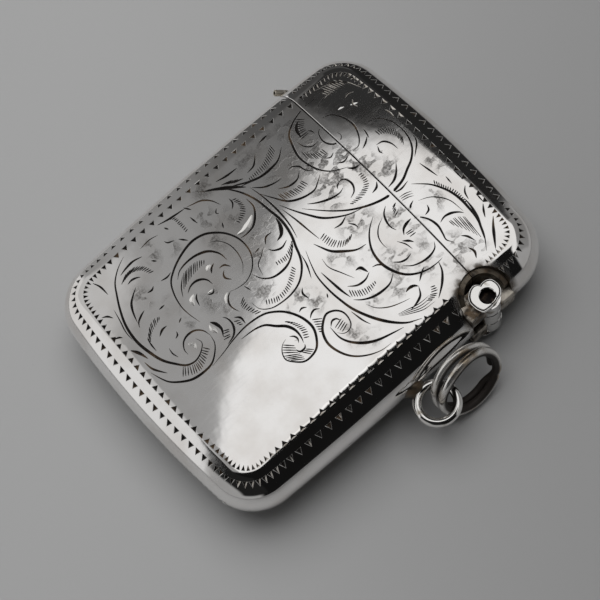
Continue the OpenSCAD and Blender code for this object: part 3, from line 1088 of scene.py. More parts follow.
    # Leaves between the trunk and the hinge.
    right_leaves: Motif = (
        cut(0.3, 8.4, 6.85, 9, 5.9, 9.1, 4.7, 8.85, 3.4, 8.3, 2.4, 7.7, 1.75),
        *hatch([7.7, 4.9, 7.6, 3.8, 7.2, 2.8, 6.5, 2.1], [8, 4.8, 8.3, 3.8, 8.1, 2.8, 7.3, 1.85]),
        cut(0.3, 3, 1.3, 4.6, 1.4, 6.25, 1.55, 7.3, 1.75, swell=0.6),
        cut(
            0.34, 0, 1.75, 1.7, 1.1, 3.1, 0.7, 5.2, 0.6, 6.9, 0.75, 8.3, 1, 9.8, 1.55, 11.25, 2.3, 12.5, 3.2,
            13.5, 4.25, 14.2, 5.7, swell=0.75,
        ),
        cut(0.2, 8.5, 0.7, 10.2, 1, 11, 1.3),
        cut(0.3, 10.7, 11.3, 11.7, 10.9, 12.7, 10, 13.3, 9.2, 13.75, 8.5),
        cut(0.38, 5.4, 4.15, 5.5, 4.7, 6, 4.9, 6.45, 5),
        cut(0.26, 6.55, 5.1, 6.9, 4.25, 6.8, 3.2, 6.15, 2.3),
        cut(0.2, 6.35, 5.7, 6.55, 6.3, 7.2, 6.85),
        cut(0.34, 3.95, 7, 3.75, 5.9, 2.9, 4.7, 1.9, 3.7, 0.8, 3.2, 0, 2.9),
        *hatch([2, 6.75, 2, 5.7, 1.25, 4.9, -0.2, 4.55], [2.4, 6.2, 2.5, 5.1, 1.45, 4, -0.1, 3.8]),
        cut(0.24, 0, 7.6, 0.35, 6.6, 0.2, 5.7),
        cut(0.2, 0.8, 7.2, 1.5, 7.65, 2, 7.65),
        cut(0.14, 1.9, 2.4, 3.1, 2.3, 4.6, 2.9, 6, 3.5),
        cut(0.14, 9, 2.4, 10, 2.9, 10.9, 4, 11.5, 5.5, 11.7, 6.3),
        cut(0.36, 10.9, 6.4, 10.8, 7, 11, 7.6, 11.35, 7.85),
        cut(0.28, 11.35, 7.85, 12.2, 7.3, 12.6, 6.3, 12.7, 5.5),
        *hatch([12.3, 9.2, 12.9, 9.1, 13.3, 8.7, 13.5, 7.75], [12.2, 8.75, 12.6, 8.5, 12.9, 8, 13.1, 7.3]),
        *(
            cut(0.11, 13.75 - shift, 8, 13.6 - shift * 0.9, 6.5, 12.9 - shift * 0.6, 5, 12.4 - shift * 0.3, 4.1)
            for shift in (0.0, 0.3, 0.6, 0.9)
        ),
        cut(0.24, 10.1, 9.8, 10.4, 9.2, 11, 8.3),
    )
    # The spiral across the lid line by the hinge.
    lid_spiral: Motif = (
        cut(
            0.32, 2.1, 15.25, 2.7, 15.9, 3.55, 16.7, 4.6, 17.3, 5.8, 17.75, 7.3, 17.95, 8.3, 17.9, 9.6, 17.75,
            10.8, 17.4, 11.9, 16.9, 13.3, 15.9,
        ),
        *hatch([3.3, 17.3, 4.6, 17.75, 6, 18.3, 7.9, 18.3], [3.95, 17, 5, 17.5, 6.25, 17.8, 7.7, 17.95]),
        cut(0.36, 7.3, 18.3, 8.7, 18.15, 10, 17.75, 12.1, 16.7),
        *hatch(
            [8.1, 15.1, 8.2, 15.9, 8.6, 16.6, 9, 16.95], [8.7, 15.25, 10.5, 16.1, 11.6, 16.45, 11.9, 16.6], 0.4, 0.13,
        ),
        cut(0.3, 7.6, 14.5, 7.4, 15.25, 7.6, 16.1, 8.1, 16.8, 8.5, 17.1),
        cut(0.26, 2.1, 11.5, 2.7, 10.75, 3.55, 10.35, 4.3, 10.25, 5, 10.45),
        cut(
            0.34, 2.1, 9.7, 2.8, 8.6, 3.7, 7.7, 5, 6.95, 6.7, 6.7, 8.1, 7, 9.3, 7.65, 10.1, 8.6, 10.6, 9.8,
            10.75, 11.1, 10.7, 11.9,
        ),
        cut(0.16, 2.9, 10.3, 3.4, 9.3, 4.2, 8.55, 5, 8.3, 5.85, 8.3),
        cut(0.24, 8.05, 9.8, 8.2, 9, 8, 8.3, 7.45, 7.7),
        cut(0.26, 8.5, 8.2, 9.2, 9, 9.6, 10.25, 9.6, 11.3, 9.3, 12.1, 8.75, 12.5, swell=0.6),
        cut(0.28, 5.1, 12.6, 5.5, 13.2, 6.5, 13.85, 7.7, 14.05, 8.75, 13.8, 9.5, 13.6, 10.2, 14),
        cut(0.35, 5.1, 12.5, 5.2, 11.7, 5.45, 11.1, 6, 10.65, swell=0.4),
        *hatch([5.9, 11.7, 6.8, 11.8], [5.8, 10.9, 6.65, 11]),
        cut(0.28, 6.35, 10.05, 6.9, 10.65, 7.3, 10.9),
        cut(0.16, 6, 9.6, 6.9, 10.1, 7.8, 10.25),
        *(
            cut(0.12, 2.8 + shift, 14.8 - shift * 0.4, 2.5 + shift, 14, 2.4 + shift * 0.8, 13.2 - shift * 0.3)
            for shift in (0.0, 0.28, 0.56)
        ),
        *hatch([2.5, 12.7, 2.9, 12.2, 3.6, 12], [2.6, 12.1, 3.1, 11.65, 3.9, 11.3]),
    )
    # Small leaves round the spiral on the lid.
    lid_sprays: Motif = (
        cut(0.26, 3.7, 14.1, 4.05, 13.4, 5, 13.2),
        cut(0.24, 5.1, 14.85, 5.65, 14.6, 5.85, 13.9),
        cut(0.26, 10.2, 15.05, 10.7, 15.5, 11.6, 15.8),
        cut(0.3, 11.7, 14.7, 12.5, 14.9, 13.2, 14.5),
        cut(0.14, 4.1, 14.5, 4.6, 15.6, 5.3, 16.35, 6.45, 17, 8.3, 17.2),
        cut(0.36, 10.9, 19.15, 11.7, 18.4, 12.7, 17.6, 13.8, 16.75),
        cut(0.26, 9.1, 19.35, 9.8, 18.8, 10.45, 18.4),
        cut(0.22, 6.25, 19.4, 6.8, 18.85, 7.7, 18.55),
        cut(0.18, 7.7, 19.6, 9, 19.5),
        cut(0.2, 4, 19.7, 4.8, 19.75, 5.6, 19.7),
        cut(0.18, 4, 18.6, 5.1, 18.5),
        cut(0.22, 0.9, 17.6, 2.1, 17.8, 3.4, 18),
    )
    # The matted ground between the leaves: place and half sizes of each patch.
    ground: tuple[Patch, ...] = (
        (-4.5, 12.3, 2.2, 1.2), (-3.8, 8.3, 1.3, 1.6), (1.4, 8.0, 1.2, 1.9), (3.7, 4.4, 0.9, 0.6),
        (4.8, 6.3, 0.8, 0.6), (2.7, 3.3, 0.6, 0.6), (10.1, 6.0, 0.8, 1.2), (11.6, 12.6, 1.2, 1.4),
        (5.0, 16.0, 1.4, 0.8), (10.6, 14.2, 1.4, 0.9), (-1.0, 14.6, 1.0, 1.2), (1.5, 18.6, 0.6, 0.5),
        (3.2, 19.0, 0.7, 0.5), (-9.0, 6.8, 0.9, 1.5), (-9.8, 8.1, 1.2, 0.7), (-5.2, 0.8, 0.9, 0.7),
        (-5.3, -1.0, 0.8, 1.2), (3.4, -2.2, 0.8, 0.7), (4.0, -3.7, 0.6, 0.5), (10.6, -0.8, 1.2, 0.8),
        (-10.5, -3.6, 1.6, 0.9), (-2.9, -8.6, 0.9, 0.7), (-2.6, -9.9, 1.2, 0.5), (-0.9, -8.9, 0.9, 0.6),
        (-8.4, -14.6, 1.2, 0.9), (-5.6, -12.8, 0.9, 0.6), (-2.6, -12.9, 0.7, 0.5), (-10.4, -8.4, 0.8, 0.6),
        (-12.4, -10.4, 0.9, 0.6), (-11.2, -10.6, 0.7, 0.7), (0.2, -4.6, 0.9, 1.2), (5.0, -1.2, 1.1, 0.8),
        (7.5, 9.2, 0.8, 0.6), (4.0, 12.3, 0.8, 0.9), (8.2, 11.4, 0.7, 0.8), (-12.8, 4.0, 0.8, 1.2),
        (9.2, 3.2, 0.8, 0.6), (-7.9, -4.6, 1.4, 0.7), (12.2, 0.4, 0.8, 0.9), (-3.3, -2.4, 1.0, 0.9),
        (-1.6, -4.9, 1.0, 0.7), (-2.6, 13.6, 1.4, 0.8), (-2.0, 7.8, 0.7, 1.0), (6.2, 12.6, 0.9, 0.8),
        (6.8, 8.0, 1.1, 0.7), (-12.2, 9.8, 1.4, 1.2), (-7.4, 8.6, 1.2, 1.0), (-8.8, 10.6, 1.5, 0.8),
        (-6.6, 10.2, 1.0, 1.0), (-4.2, 10.4, 1.3, 1.2), (8.6, 7.4, 1.0, 0.9), (10.4, 10.2, 0.9, 1.2),
        (3.9, 10.8, 1.0, 0.9), (12.2, 15.6, 0.9, 0.9), (-13.4, -1.6, 0.9, 1.2), (-6.8, 2.0, 1.2, 0.6),
        (-9.4, 5.0, 0.9, 0.8), (-13.4, 7.0, 0.8, 1.1), (-8.6, -1.4, 1.0, 0.7),
    )

    def strokes(self) -> list[Cut]:
        """Gathers the strokes of the front.

        Returns:
            All of them, in order.
        """
        motifs = (
            self.lid_corner, self.crest_leaf, self.rim_leaves, self.trunk, self.fan_leaves, self.great_spiral,
            self.edge_sprigs, self.base_leaf, self.middle_scroll, self.side_scroll, self.right_leaves, self.lid_spiral,
            self.lid_sprays,
        )
        return [stroke for motif in motifs for stroke in motif]


class Skin:
    """Points and faces of one piece, in millimetres, gathered before they become a mesh."""

    def __init__(self) -> None:
        """Starts empty."""
        self.points: list[np.ndarray] = []
        self.normals: list[np.ndarray] = []
        self.maps: list[np.ndarray] = []
        self.marks: list[np.ndarray] = []
        self.count = 0
        self.faces: list[tuple[int, ...]] = []
        self.kinds: list[int] = []
        self.patches: dict[int, list[Pair]] = {}

    def add(
        self,
        xyz: np.ndarray,
        normal: np.ndarray | None = None,
        place: np.ndarray | None = None,
        mark: np.ndarray | None = None,
    ) -> np.ndarray:
        """Adds points.

        Args:
            xyz: The points, one row each.
            normal: Their exact normals, if they are known.
            place: Their places on the flat map, if there is one.
            mark: How near each is to the floor of a cut, from 0 to 1.

        Returns:
            Their numbers.
        """
        xyz = np.asarray(xyz, float)
        self.points.append(xyz)
        self.normals.append(np.zeros_like(xyz) if normal is None else normal)
        self.maps.append(np.zeros((len(xyz), 2)) if place is None else place)
        self.marks.append(np.zeros(len(xyz)) if mark is None else mark)
        self.count += len(xyz)
        return np.arange(self.count - len(xyz), self.count)

    def face(self, corners: Sequence[int], kind: int = 0) -> None:
        """Adds one face of one kind of finish."""
        self.faces.append(tuple(int(c) for c in corners))
        self.kinds.append(kind)

    def quads(self, low: Sequence[int], high: Sequence[int], kind: int = 0, closed: bool = False) -> None:
        """Joins two lines of points.

        Args:
            low: The first line; the faces' fronts have it on their right-hand way.
            high: The second line, with as many points.
            kind: Kind of finish.
            closed: True to join the ends too.
        """
        total = len(low)
        for i in range(total if closed else total - 1):
            j = (i + 1) % total
            self.face((low[i], low[j], high[j], high[i]), kind)

    def tube(self, rings: Sequence[np.ndarray], kind: int = 0, closed: bool = False) -> None:
        """Joins rings of points into a tube.

        Args:
            rings: The rings, each with as many points.
            kind: Kind of finish.
            closed: True where the tube runs into its own start; otherwise both ends get a face.
        """
        for one, two in zip(rings, [*rings[1:], *rings[:closed]]):
            self.quads(one, two, kind, True)
        if not closed:
            self.face(rings[0][::-1], kind)
            self.face(rings[-1], kind)

    def build(self, name: str, finishes: Sequence[Finish], flip: bool = False, sharp: float = 38.0) -> bpy.types.Object:
        """Makes the object.

        Args:
            name: The piece's name.
            finishes: Its finishes, by kind.
            flip: True to turn every face over.
            sharp: Angle in degrees above which an edge stays sharp, where no exact normals were given.

        Returns:
            The object.
        """
        mesh = bpy.data.meshes.new(name)
        faces = [f[::-1] for f in self.faces] if flip else self.faces
        mesh.from_pydata((np.concatenate(self.points) * MM).tolist(), [], faces)
        for finish in finishes:
            mesh.materials.append(finish.material())
        mesh.polygons.foreach_set("material_index", self.kinds)
        mesh.update()
        mesh.shade_smooth()
        normals = np.concatenate(self.normals)
        if normals.any():
            self._set_normals(mesh, normals)
            self._set_map(mesh, faces)
        else:
            mesh.set_sharp_from_angle(angle=math.radians(sharp))
        made = bpy.data.objects.new(name, mesh)
        bpy.context.scene.collection.objects.link(made)
        return made

    def _set_normals(self, mesh: bpy.types.Mesh, normals: np.ndarray) -> None:
        """Gives the faces exact normals, and flat ones where none are known or a cut lies.

        Args:
            mesh: The mesh.
            normals: Exact normals at its points, or zero.
        """
        at = np.empty(len(mesh.loops), int)
        mesh.loops.foreach_get("vertex_index", at)
        flat = np.empty(len(mesh.polygons) * 3)
        mesh.polygons.foreach_get("normal", flat)
        sizes = np.empty(len(mesh.polygons), int)
        mesh.polygons.foreach_get("loop_total", sizes)
        flat = np.repeat(flat.reshape(-1, 3), sizes, axis=0)
        kinds = np.repeat(np.array(self.kinds), sizes)
        exact = normals[at]
        use_flat = (kinds != 0) | (np.linalg.norm(exact, axis=1) < 0.5)
        mesh.normals_split_custom_set(np.where(use_flat[:, None], flat, exact).tolist())

    def _set_map(self, mesh: bpy.types.Mesh, faces: Sequence[tuple[int, ...]]) -> None:
        """Lays the faces out on a flat map.

        Args:
            mesh: The mesh.
            faces: Its faces.
        """
        place = np.concatenate(self.maps)
        layer = mesh.uv_layers.new(name="OFBake")
        rows: list[Pair] = []
        for number, corners in enumerate(faces):
            rows.extend(self.patches.get(number) or [tuple(place[c]) for c in corners])
        layer.data.foreach_set("uv", np.array(rows, float).ravel())


def dress(made: bpy.types.Object, body: str, slot: str, *nodes: str) -> None:
    """Sets a piece in the frame.

    Args:
        made: The piece.
        body: The body that it rides on.
        slot: Not used.
        nodes: The nodes that it stands for.
    """
    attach(made, body)
    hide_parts(*nodes)
    LOG.info("%s: %d faces, on %s", made.name, len(made.data.polygons), body)


class Kind(IntEnum):
    """The finishes of a half shell, in the order of its slots."""

    POLISHED = 0
    CUT = 1
    DULL = 2
    LIT = 3
    SEAT = 4


@dataclass
class HalfShell:
    """Half of the body's or the lid's shell, from the middle seam to the front or the back."""

    member: Member
    side: Side
    cuts: list[Cut] = field(default_factory=list)
    nicks: list[Nick] = field(default_factory=list)
    ground: Sequence[Patch] = ()
    wall: float = 0.6
    edge: float = 1.1
    rows: int = 11
    mouth_steps: tuple[int, int] = (14, 70)
    margin: float = 0.14
    lip: float = 0.08
    lip_turn: float = 0.55
    lip_in: float = 0.5
    recess_slack: float = 0.02
    ring_pitch: Pair = (0.32, 0.8)
    ring_depth: float = 5.0
    grid_pitch: Pair = (0.75, 1.5)
    grid_depth: float = 5.1
    grid_reach: tuple[int, int] = (18, 24)
    shortest: int = 3
    nick_reach: float = 0.6
    least_cut: float = 0.004
    striker: Triple = (13.6, 1.85, 5.95)
    striker_sink: float = 0.12
    striker_y: float = -15.0
    # Cut walls that face the light get a painted highlight: how far they must face it, and the part of the face where
    # it is painted.
    lit_slope: float = 0.25
    lit_part_right: float = 13.7
    lit_part_left: float = -14.9
    lit_part_top: float = 20.8
    lit_part_line: Pair = (22.6, 0.58)
    border_from: float = 0.12
    border_flat: float = 0.24
    outer_map: Pair = (0.0, 0.6)
    inner_map: Pair = (0.62, 0.36)
    edge_map: Pair = (0.985, 0.999)
    map_margin: float = 0.01
    map_half: float = 22.5
    seat_reach: float = 0.4
    stain_r: float = 4.1
    stain_fade: float = 0.8
    ground_reach: float = 1.5

    @property
    def steps(self) -> tuple[int, int, int]:
        """Steps along a side, round a corner and along an end."""
        return (64, 18, 60) if self.member is Member.BODY else (14, 18, 60)

    def inside(self, xy: np.ndarray) -> np.ndarray:
        """Which points lie well inside the panel of this half.

        Args:
            xy: Points in plan, one row each.

        Returns:
            True or False for each.
        """
        depth, _ = FORM.inward(xy)
        x, y = xy.T
        hinge = np.hypot(x - FORM.hinge[0], y - FORM.hinge[1]) - FORM.scoop_r
        beyond = self.member.sign * (y - FORM.rim(x)) - FORM.rim_gap / 2
        return np.minimum(np.minimum(depth - self.edge, hinge), beyond) > self.margin

    def trimmed(self) -> list[Run]:
        """The strokes as far as they lie on this panel.

        Returns:
            For each run: its middle line, half widths, floor depths, left edge, right edge and darkness.
        """
        runs: list[Run] = []
        for stroke in self.cuts:
            p, half = stroke.line()
            way = np.gradient(p, axis=0)
            way = way / np.linalg.norm(way, axis=1)[:, None]
            across = np.stack([-way[:, 1], way[:, 0]], 1) * half[:, None]
            left, right = p + across, p - across
            good = self.inside(p) & self.inside(left) & self.inside(right)
            start = None
            for i, fine in enumerate([*good, False]):
                if fine and start is None:
                    start = i
                elif not fine and start is not None:
                    if i - start >= self.shortest:
                        span = slice(start, i)
                        floor = half[span] * 2 * stroke.steep
                        floor[0] = floor[-1] = 0.0
                        runs.append((p[span], half[span], floor, left[span], right[span], np.array(stroke.dark)))
                    start = None
        return runs

    def carve(self, xy: np.ndarray, runs: list[Run], nicks: list[Nick]) -> tuple[np.ndarray, np.ndarray]:
        """How deep the graver went.

        Args:
            xy: Points in plan, one row each.
            runs: The strokes on this panel.
            nicks: The nicks on this panel.

        Returns:
            Depth at each point, and how near it is to the floor of its cut.
        """
        depth = np.zeros(len(xy))
        near_floor = np.zeros(len(xy))
        slack = 0.01
        for p, half, floor, left, right, dark in runs:
            low = np.minimum(left.min(0), right.min(0)) - slack
            high = np.maximum(left.max(0), right.max(0)) + slack
            near = np.nonzero(((xy > low) & (xy < high)).all(1))[0]
            if not len(near):
                continue
            q = xy[near][:, None, :]
            a, b = p[:-1][None], p[1:][None]
            along = b - a
            t = np.clip(((q - a) * along).sum(2) / np.maximum((along**2).sum(2), 1e-12), 0, 1)
            gap = np.linalg.norm(q - a - along * t[:, :, None], axis=2)
            width = half[:-1][None] * (1 - t) + half[1:][None] * t
            bottom = floor[:-1][None] * (1 - t) + floor[1:][None] * t
            share = np.clip(1 - gap / np.maximum(width, 1e-6), 0, 1)
            depth[near] = np.maximum(depth[near], (bottom * share).max(1))
            near_floor[near] = np.maximum(near_floor[near], share.max(1) * dark)
        for nick in nicks:
            pit = np.array(nick.pit)
            near = np.nonzero(np.hypot(*(xy - pit).T) < self.nick_reach)[0]
            share = np.ones(len(near))
            for i in range(3):
                a, b = np.array(nick.corners[i]), np.array(nick.corners[(i + 1) % 3])
                across = np.array([a[1] - b[1], b[0] - a[0]])
                share = np.minimum(share, ((xy[near] - a) @ across) / ((pit - a) @ across))
            share = np.clip(share, 0, 1)
            depth[near] = np.maximum(depth[near], nick.depth * share)
            near_floor[near] = np.maximum(near_floor[near], share)
        return depth, near_floor

    def panel(self, loop: np.ndarray, engraved: bool) -> Panel:
        """Divides the panel inside the edge into triangles that follow the strokes.

        Args:
            loop: The panel's outline in plan.
            engraved: True for the outer skin.

        Returns:
            Points in plan, triangles, the numbers of the outline's points, depths of cuts and nearness to their floors.
        """
        runs = self.trimmed() if engraved else []
        nicks = [n for n in self.nicks if engraved and self.inside(np.array(n.corners)).all()]
        fine, coarse = self.ring_pitch
        depths = np.arange(self.edge + fine, self.ring_depth, fine if engraved else coarse)
        rings = [FORM.run(depth, self.member, self.steps) for depth in depths]
        pitch = self.grid_pitch[not engraved]
        gx, gy = np.meshgrid(*(np.arange(-reach, reach, pitch) for reach in self.grid_reach))
        grid = np.stack([gx.ravel(), gy.ravel()], 1)
        spread = np.concatenate([*rings, grid[FORM.inward(grid)[0] > self.grid_depth]])
        spread = spread[self.inside(spread)]
        coords = [*loop, *spread]
        edges = [(i, (i + 1) % len(loop)) for i in range(len(loop))]
        if engraved:
            lip = FORM.mouth(self.edge + self.lip_in, self.member, self.mouth_steps)
            lip = lip + self.outward(lip) * -self.lip
            edges += [(len(coords) + i, len(coords) + i + 1) for i in range(len(lip) - 1)]
            coords += [*lip]
        for p, _, _, left, right, _ in runs:
            start, n = len(coords), len(p)
            coords += [*p, *left, *right]
            for row in range(3):
                edges += [(start + row * n + i, start + row * n + i + 1) for i in range(n - 1)]
            for end in (0, n - 1):
                edges += [(start + end, start + n + end), (start + end, start + 2 * n + end)]
        for nick in nicks:
            start = len(coords)
            coords += [*nick.corners, nick.pit]
            edges += [(start, start + 1), (start + 1, start + 2), (start + 2, start)]
        only_inside, weld = 1, 1e-4
        made = delaunay_2d_cdt([Vector((c[0], c[1])) for c in coords], edges, [], only_inside, weld)
        xy = np.array([(v.x, v.y) for v in made[0]])
        where = {old: new for new, olds in enumerate(made[3]) for old in olds}
        return xy, made[2], [where[i] for i in range(len(loop))], *self.carve(xy, runs, nicks)

    def outward(self, xy: np.ndarray) -> np.ndarray:
        """Directions in plan from the panel into the lid gap or the hinge recess.

        Args:
            xy: Points of the mouth, one row each.

        Returns:
            Unit directions.
        """
        to_hinge = np.array(FORM.hinge) - xy
        away = np.linalg.norm(to_hinge, axis=1)[:, None]
        return np.where(away < FORM.scoop_r + self.recess_slack, to_hinge / away, (0.0, -self.member.sign))

    def unroll(self, xy: np.ndarray) -> np.ndarray:
        """Lays the skin out flat, with its rolled edge.

        Args:
            xy: Points in plan, one row each.

        Returns:
            Their places on the map, from 0 to 1.
        """
        depth, way = FORM.inward(xy)
        turn = np.arccos(np.clip(1 - depth / FORM.round_r, -1, 1))
        top = math.acos(1 - self.edge / FORM.round_r)
        extra = np.where(depth < self.edge, FORM.round_r * (top - turn) - (self.edge - depth), 0.0)
        flat = xy + way * extra[:, None]
        low, high = (-28.0, 13.5) if self.member is Member.BODY else (12.0, 28.0)
        return np.stack([(flat[:, 0] + self.map_half) / (2 * self.map_half), (flat[:, 1] - low) / (high - low)], 1)

    def layer(self, skin: Skin, inset: float, engraved: bool) -> list[int]:
        """Adds one skin of the sheet.

        Args:
            skin: The piece.
            inset: Its depth under the outer skin.
            engraved: True for the outer skin.

        Returns:
            The numbers of its open edge, all round.
        """
        ball = FORM.round_r - inset
        top = math.acos(1 - self.edge / FORM.round_r)
        depths = [inset + ball * (1 - math.cos(turn)) for turn in np.linspace(0, top, self.rows + 1)]
        lines = [FORM.run(d, self.member, self.steps) for d in depths]
        loop = np.concatenate([lines[-1], FORM.mouth(depths[-1], self.member, self.mouth_steps)])
        xy, triangles, outline, carved, floor = self.panel(loop, engraved)
        rows = [self.lift(skin, line, inset, np.zeros(len(line)), i == 0) for i, line in enumerate(lines[:-1])]
        face = self.lift(skin, xy, inset, carved, False, floor)
        rows.append(face[outline[: len(lines[-1])]])
        base, dark, lit = (Kind.POLISHED, Kind.CUT, Kind.LIT) if engraved else (Kind.DULL,) * 3
        xyz = skin.points[-1]
        for low, high in zip(rows, rows[1:]):
            skin.quads(low, high, base)
        for t in triangles:
            kind = base
            if carved[list(t)].max() > self.least_cut:
                # A cut wall that faces the light, towards -x and -y, in the lit part gets a painted highlight; other
                # cut walls are dark.
                slope = np.cross(xyz[t[1]] - xyz[t[0]], xyz[t[2]] - xyz[t[0]])
                faced = -slope[0] - slope[1] > self.lit_slope * np.linalg.norm(slope)
                kind = lit if faced and self.lit_part(*xy[t[0]]) else dark
            skin.face(face[list(t)], kind)
        mouth = face[outline[len(lines[-1]) :]]
        if engraved:
            where = outline[len(lines[-1]) :]
            tilt = np.concatenate([self.outward(xy[where]), np.zeros((len(where), 1))], 1)
            turned = skin.normals[-1][where] + tilt * self.lip_turn
            skin.normals[-1][where] = turned / np.linalg.norm(turned, axis=1)[:, None]
        return [*rows[0], *(r[-1] for r in rows[1:]), *mouth, *(r[0] for r in rows[:0:-1])]

    def lit_part(self, x: float, y: float) -> bool:
        """Whether cut walls that face the light get a painted highlight at a place."""
        offset, slope = self.lit_part_line
        return x > self.lit_part_right or (self.lit_part_left < x < (y - offset) / slope and y < self.lit_part_top)

    def lift(
        self, skin: Skin, xy: np.ndarray, inset: float, carved: np.ndarray, seam: bool, floor: np.ndarray | None = None
    ) -> np.ndarray:
        """Sets points in plan on the skin.

        Args:
            skin: The piece.
            xy: The points, one row each.
            inset: Depth of the skin.
            carved: Depth of the cuts.
            seam: True for the line of the middle seam.
            floor: Nearness to the floor of a cut.

        Returns:
            The numbers of the new points.
        """
        height, normal = FORM.surface(xy, inset)
        if seam:
            _, way = FORM.inward(xy)
            height, normal = np.zeros(len(xy)), np.concatenate([way, np.zeros((len(xy), 1))], 1)
        sign = float(self.side.value)
        turned = normal * (1.0, 1.0, sign)
        xyz = np.concatenate([xy, (FORM.mid_z + sign * height)[:, None]], 1) - turned * carved[:, None]
        outer = inset == 0.0
        if outer:
            half, low, high = self.striker
            x, y, z = xyz.T
            bed = (np.abs(x) < half) & (y < self.striker_y) & (z > low) & (z < high)
            xyz = xyz - turned * (self.striker_sink * bed)[:, None]
            turned = self.flattened(turned)
            rest = xyz[:, 2] < 0
            turned = np.where(rest[:, None], (0.0, 0.0, -1.0), turned)
            xyz[:, 2] = np.maximum(xyz[:, 2], 0.0)
        start, share = self.outer_map if outer else self.inner_map
        place = self.unroll(xy) * (share, 1 - 2 * self.map_margin) + (start, self.map_margin)
        return skin.add(xyz, turned if outer else -turned, place, floor)

    def flattened(self, normals: np.ndarray) -> np.ndarray:
        """Shades the border flatter and the turn of the edge tighter, as hand-raised sheet is.

        Args:
            normals: Unit normals, one row each.

        Returns:
            The unit normals to shade with.
        """
        tilt = np.hypot(*normals.T[:2])
        share = np.clip((tilt - self.border_from) / (1 - self.border_from), 0, 1)
        less = tilt - self.border_flat * np.sin(math.pi * share)
        plan = normals[:, :2] * (less / np.maximum(tilt, 1e-9))[:, None]
        return np.concatenate([plan, (np.sign(normals[:, 2]) * np.sqrt(1 - less**2))[:, None]], 1)

    def build(self) -> None:
        """Builds the sheet: outer skin, inner skin and the edge between them."""
        skin = Skin()
        outer = self.layer(skin, 0.0, True)
        split = len(skin.faces)
        inner = self.layer(skin, self.wall, False)
        for i in range(split, len(skin.faces)):
            skin.faces[i] = skin.faces[i][::-1]
        first = len(skin.faces)
        skin.quads(outer, inner, Kind.DULL, True)
        total = len(outer)
        xy = np.concatenate(skin.points)[:, :2]
        from_pin = np.hypot(*(xy - FORM.hinge).T)
        for i in np.flatnonzero(from_pin[outer] < FORM.scoop_r + self.seat_reach):
            skin.kinds[first + i] = Kind.SEAT
        low, high = self.edge_map
        for i in range(total):
            one, two = i / total, (i + 1) / total
            skin.patches[first + i] = [(low, one), (low, two), (high, two), (high, one)]
        skin.faces[first:] = [f[::-1] for f in skin.faces[first:]]
        name = f"{self.member.value}_{self.side.name.lower()}_shell"
        finishes = [PolishedSilver(), GraverCut(), DullSilver(), LitCut(), SEAT_TARNISH]
        made = skin.build("dressed_" + name, finishes, self.side is Side.BACK)
        stain = np.clip((self.stain_r - from_pin) / self.stain_fade, 0, 1)
        share = np.zeros(len(xy))
        for x, y, rx, ry in self.ground:
            reach = np.hypot((xy[:, 0] - x) / rx, (xy[:, 1] - y) / ry)
            share = np.maximum(share, np.clip(self.ground_reach - reach, 0, 1))
        for layer, values in (("ground", share), ("stain", stain), ("floor", np.concatenate(skin.marks))):
            made.data.attributes.new(layer, "FLOAT", "POINT").data.foreach_set("value", values)
        dress(made, self.member.value, "polished_silver", name)


@dataclass
class HingeSeat:
    """The curved wall that closes the shell behind the hinge."""

    member: Member
    inner_r: float = 2.5
    outer_r: float = 3.5
    tuck: float = 0.2
    mouth_depth: float = 0.55
    steps: int = 18

    def build(self) -> None:
        """Builds the wall between the skins of front and back."""
        path = FORM.mouth(self.mouth_depth, self.member, (self.steps, 2))
        path = path[: self.steps] if self.member is Member.BODY else path[-self.steps :]
        hx, hy = FORM.hinge
        skin = Skin()
        rings: list[np.ndarray] = []
        for x, y in path:
            turn = math.atan2(y - hy, x - hx)
            near, far = (
                np.array([[hx + r * math.cos(turn), hy + r * math.sin(turn)]]) for r in (self.inner_r, self.outer_r)
            )
            top = float(FORM.surface(near, self.tuck)[0][0])
            corners = ((near, top), (far, top), (far, -top), (near, -top))
            rings.append(skin.add(np.array([(*at[0], FORM.mid_z + z) for at, z in corners])))
        skin.tube(rings)
        name = f"{self.member.value}_hinge_seat"
        made = skin.build("dressed_" + name, [SEAT_TARNISH], self.member is Member.LID)
        dress(made, self.member.value, "worn_silver", name)


